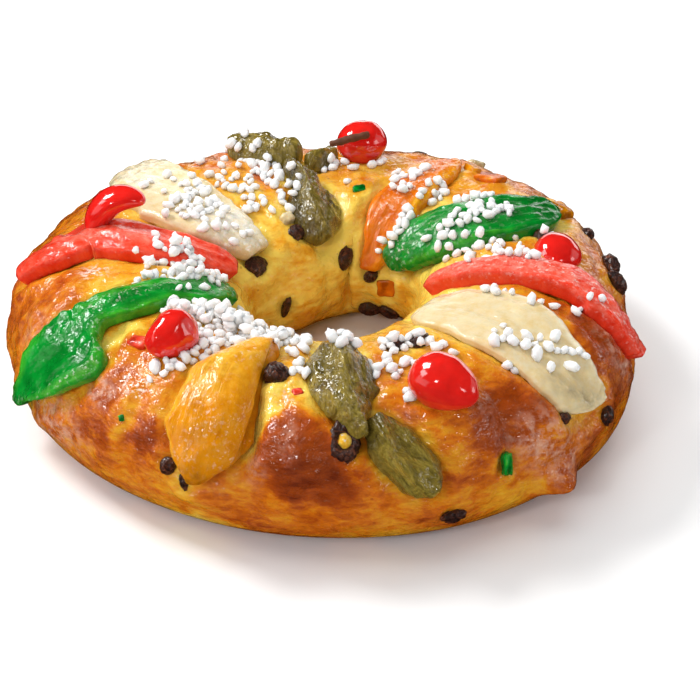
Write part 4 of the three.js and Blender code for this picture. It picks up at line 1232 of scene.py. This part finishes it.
def make_dried_fruit(around, over, ring, tube, stretch):
    """An opened dried fruit: a crumbly dark rim around an amber heart."""
    bm = spun_ring(ring, tube, 24, 64)
    rim = positions(bm)
    rim *= (1 + 0.1 * grain(rim, 1.6, seed=3, octaves=3))[:, None]
    points = settle(rim, around, over, (1, stretch, 1), 0, tube * RIM_LIFT)
    add_piece(bm, "dried_fruit_rim", points, "baked_raisin", ["dried_fruit_ring"])
    bm = bmesh.new()
    bmesh.ops.create_icosphere(bm, subdivisions=3, radius=1)
    heart = positions(bm)
    heart *= (1 + 0.15 * grain(heart * 10, 5, seed=9, octaves=2))[:, None]
    reach = ring - tube * HEART_LIFT
    points = settle(heart, around, over, (reach, reach * stretch, HEART_HEIGHT), 0, tube * HEART_LIFT)
    values = {key: np.full(len(heart), amount) for key, amount in HEART_LOOK.items()}
    add_piece(
        bm, "dried_fruit_heart", points, "candied_orange_segment", ["dried_fruit_centre"], values,
        heart[:, :2])


# ------------------------------------------------------------------ pearl sugar

def top_surface():
    """One search tree of all the visible pieces, to drop the sugar on, and which faces stay bare."""
    points, faces, bare = [], [], []
    for piece in bpy.context.scene.objects:
        if piece.type != "MESH" or piece.hide_render or "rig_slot" not in piece:
            continue
        start = len(points)
        points.extend(tuple(v.co) for v in piece.data.vertices)
        faces.extend(tuple(start + i for i in p.vertices) for p in piece.data.polygons)
        bare.extend([piece["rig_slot"] in BARE_SLOTS] * len(piece.data.polygons))
    return BVHTree.FromPolygons(points, faces), bare


def sugar_shapes(count, dice):
    """A few different nibs: bevelled blocks with jittered corners."""
    shapes = []
    for _ in range(count):
        bm = bmesh.new()
        bmesh.ops.create_cube(bm, size=1)
        bmesh.ops.bevel(
            bm, geom=bm.verts[:] + bm.edges[:], offset=0.29, segments=1, profile=0.5,
            affect="EDGES", material=-1)
        for vert in bm.verts:
            vert.co *= 1 + dice.uniform(-0.2, 0.2)
        mesh = bpy.data.meshes.new("nib")
        bm.to_mesh(mesh)
        bm.free()
        shapes.append(mesh)
    return shapes


def throw_grain(band, layers, dice, surface, placed, grain_size):
    """Where one grain thrown at a band lies: its seat, size, level and normal, or None if it falls off."""
    around_0, over_0, around_1, over_1, half_width = band
    tree, bare = surface
    share = dice.random()
    around = around_0 + share * angle_between(around_1, around_0)
    over = over_0 + share * (over_1 - over_0)
    _, _, out, around_pace, over_pace = skin_frame(around, over)
    around += dice.gauss(0, SUGAR_SPREAD) * half_width / around_pace
    over += dice.gauss(0, SUGAR_SPREAD) * half_width / over_pace
    start = Vector(lifted(around, over, SUGAR_DROP) * MM)
    hit, normal, face, _ = tree.ray_cast(start, -Vector(out))
    if hit is None or bare[face]:
        return None
    size = grain_size * dice.uniform(*SUGAR_SIZES)
    seat = hit + normal * size * SUGAR_SEAT
    below = [row[2] for row in placed if (row[0] - seat).length < SUGAR_NEAR * (row[1] + size)]
    level = max(below) + 1 if below else 0
    if level >= layers:
        return None
    return seat + normal * size * SUGAR_STACK * level, size, level, normal


def add_grain(bm, dice, shapes, seat, size, normal):
    """Adds one nib at its seat, lying roughly flat and turned at random."""
    start = len(bm.verts)
    bm.from_mesh(dice.choice(shapes))
    bm.verts.ensure_lookup_table()
    lean = Matrix.Rotation(dice.gauss(0, SUGAR_TILT), 4, "X")
    lean = lean @ Matrix.Rotation(dice.gauss(0, SUGAR_TILT), 4, "Y")
    spin = Matrix.Rotation(dice.uniform(0, 2 * math.pi), 4, "Z")
    scale = Matrix.Diagonal((size * dice.uniform(1, 1.35), size * dice.uniform(.75, 1), size * .78, 1))
    upright = normal.to_track_quat("Z", "Y").to_matrix().to_4x4()
    place = Matrix.Translation(seat) @ upright @ lean @ spin @ scale
    bmesh.ops.transform(bm, matrix=place, verts=bm.verts[start:])


def make_sugar(sizes):
    """Pearl sugar, dropped grain by grain on whatever lies below each band."""
    dice = random.Random(SUGAR_SEED)
    shapes = sugar_shapes(SUGAR_SHAPES, dice)
    surface = top_surface()
    placed = []
    bm = bmesh.new()
    for *band, count, layers in SUGAR_BANDS:
        for _ in range(count):
            throws = (
                throw_grain(band, layers, dice, surface, placed, sizes.sugar_grain)
                for _ in range(SUGAR_TRIES))
            landed = next(filter(None, throws), None)
            if landed:
                seat, size, _, normal = landed
                placed.append(landed)
                add_grain(bm, dice, shapes, seat, size, normal)
    points = positions(bm) / MM
    for mesh in shapes:
        bpy.data.meshes.remove(mesh)
    add_piece(bm, "pearl_sugar", points, "pearl_sugar")


# ------------------------------------------------------------------ the stage

def add_floor(scene):
    """A wide pale card just below the ring's flat underside."""
    bm = bmesh.new()
    bmesh.ops.create_grid(bm, x_segments=1, y_segments=1, size=FLOOR_HALF)
    bmesh.ops.translate(bm, verts=bm.verts, vec=(0, 0, -FLOOR_GAP * MM))
    mesh = bpy.data.meshes.new("floor")
    bm.to_mesh(mesh)
    bm.free()
    mesh.materials.append(finish_of("studio_floor"))
    floor = bpy.data.objects.new("floor", mesh)
    scene.collection.objects.link(floor)
    floor.visible_glossy = False


def set_world(scene):
    """A faint, cool white room that doesn't show in glossy skins."""
    world = bpy.data.worlds.new("white_room")
    world.use_nodes = True
    tree = world.node_tree
    tree.nodes.clear()
    sky = add_node(tree, "Background", {"Color": WORLD_COLOUR, "Strength": WORLD_STRENGTH})
    add_node(tree, "OutputWorld", {}, {"Surface": sky})
    world.cycles_visibility.glossy = False
    scene.world = world


def add_softbox(scene, name, place, aim, size, power, shines):
    """A soft panel light; only the ones that shine show as highlights in glossy skins."""
    lamp = bpy.data.lights.new(name, "AREA")
    lamp.shape = "RECTANGLE"
    lamp.size, lamp.size_y = size
    lamp.energy = power
    box = bpy.data.objects.new(name, lamp)
    box.location = place
    box.visible_glossy = shines
    box.rotation_euler = (Vector(aim) - Vector(place)).to_track_quat("-Z", "Y").to_euler()
    scene.collection.objects.link(box)


def add_camera(scene):
    """The camera, aimed at its target from the front and above."""
    lens = bpy.data.cameras.new("camera")
    lens.lens = CAMERA_LENS
    lens.sensor_width = CAMERA_SENSOR
    lens.clip_start = 0.01
    camera = bpy.data.objects.new("camera", lens)
    target = Vector(CAMERA_TARGET) * MM
    tilt = math.radians(CAMERA_ELEVATION)
    back = Vector((0, -math.cos(tilt), math.sin(tilt))) * CAMERA_DISTANCE * MM
    camera.location = target + back
    camera.rotation_euler = (-back).to_track_quat("-Z", "Y").to_euler()
    scene.collection.objects.link(camera)
    scene.camera = camera


# ------------------------------------------------------------------ operators

class RosconStage(bpy.types.Operator):
    """Set the floor, the soft lights and the camera"""

    bl_idname = "roscon.stage"
    bl_label = "Stage"

    def execute(self, context):
        scene = context.scene
        add_floor(scene)
        set_world(scene)
        for light in LIGHTS:
            add_softbox(scene, *light)
        add_camera(scene)
        scene.view_settings.view_transform = "Standard"
        scene.view_settings.look = "None"
        scene.view_settings.exposure = 0
        return {"FINISHED"}


class RosconDough(bpy.types.Operator):
    """Build the baked ring of dough"""

    bl_idname = "roscon.dough"
    bl_label = "Dough"

    def execute(self, context):
        make_dough(context.scene.roscon_sizes)
        return {"FINISHED"}


class RosconSlabs(bpy.types.Operator):
    """Drape the slabs of candied fruit over the dough"""

    bl_idname = "roscon.slabs"
    bl_label = "Candied slabs"

    def execute(self, context):
        for name, slab in SLABS.items():
            make_slab(name, **slab)
        return {"FINISHED"}


class RosconDice(bpy.types.Operator):
    """Set the candied dice"""

    bl_idname = "roscon.dice"
    bl_label = "Candied dice"

    def execute(self, context):
        for index, (name, values) in enumerate(DICE.items()):
            make_dice("candied_" + name, [name], *values, index)
        for index, (name, values) in enumerate(SMALL_DICE.items(), SMALL_DICE_SEED):
            make_dice("candied_" + name, [], *values, index)
        return {"FINISHED"}


class RosconRaisins(bpy.types.Operator):
    """Scatter the raisins and the opened dried fruit"""

    bl_idname = "roscon.raisins"
    bl_label = "Raisins"

    def execute(self, context):
        for index, values in enumerate(RAISINS):
            node = f"raisin_{index + 1:02d}"
            make_raisin("baked_" + node, [node], *values, index)
        for index, values in enumerate(SMALL_RAISINS):
            make_raisin(f"baked_raisin_small_{index + 1}", [], *values, index + SMALL_RAISIN_SEED)
        make_dried_fruit(**DRIED_FRUIT)
        return {"FINISHED"}


class RosconCherries(bpy.types.Operator):
    """Press in the glace cherries, and lean the stalk on the back one"""

    bl_idname = "roscon.cherries"
    bl_label = "Cherries"

    def execute(self, context):
        for name, values in CHERRIES.items():
            make_cherry(name, *values)
        make_stalk()
        return {"FINISHED"}


class RosconSugar(bpy.types.Operator):
    """Sprinkle the pearl sugar"""

    bl_idname = "roscon.sugar"
    bl_label = "Pearl sugar"

    def execute(self, context):
        make_sugar(context.scene.roscon_sizes)
        return {"FINISHED"}


class RosconPanel(bpy.types.Panel):
    """Lists the ring's sizes, colours and steps"""

    bl_idname = "ROSCON_PT_panel"
    bl_label = "Roscon de Reyes"
    bl_space_type = "VIEW_3D"
    bl_region_type = "UI"
    bl_category = "Roscon"

    def draw(self, context):
        for group in (context.scene.roscon_sizes, context.scene.roscon_colours):
            box = self.layout.box()
            for name in group.__annotations__:
                box.prop(group, name)
        for operator in OPERATORS:
            self.layout.operator(operator.bl_idname)


OPERATORS = (
    RosconStage, RosconDough, RosconSlabs, RosconDice, RosconRaisins, RosconCherries, RosconSugar,
)
CLASSES = (RosconSizes, RosconColours, *OPERATORS, RosconPanel)


def register():
    for item in CLASSES:
        bpy.utils.register_class(item)
    bpy.types.Scene.roscon_sizes = PointerProperty(type=RosconSizes)
    bpy.types.Scene.roscon_colours = PointerProperty(type=RosconColours)


def unregister():
    del bpy.types.Scene.roscon_colours
    del bpy.types.Scene.roscon_sizes
    for item in reversed(CLASSES):
        bpy.utils.unregister_class(item)


def main():
    register()
    bpy.ops.roscon.stage()
    bpy.ops.roscon.dough()
    bpy.ops.roscon.slabs()
    bpy.ops.roscon.dice()
    bpy.ops.roscon.raisins()
    bpy.ops.roscon.cherries()
    bpy.ops.roscon.sugar()


if __name__ == "__main__":
    main()
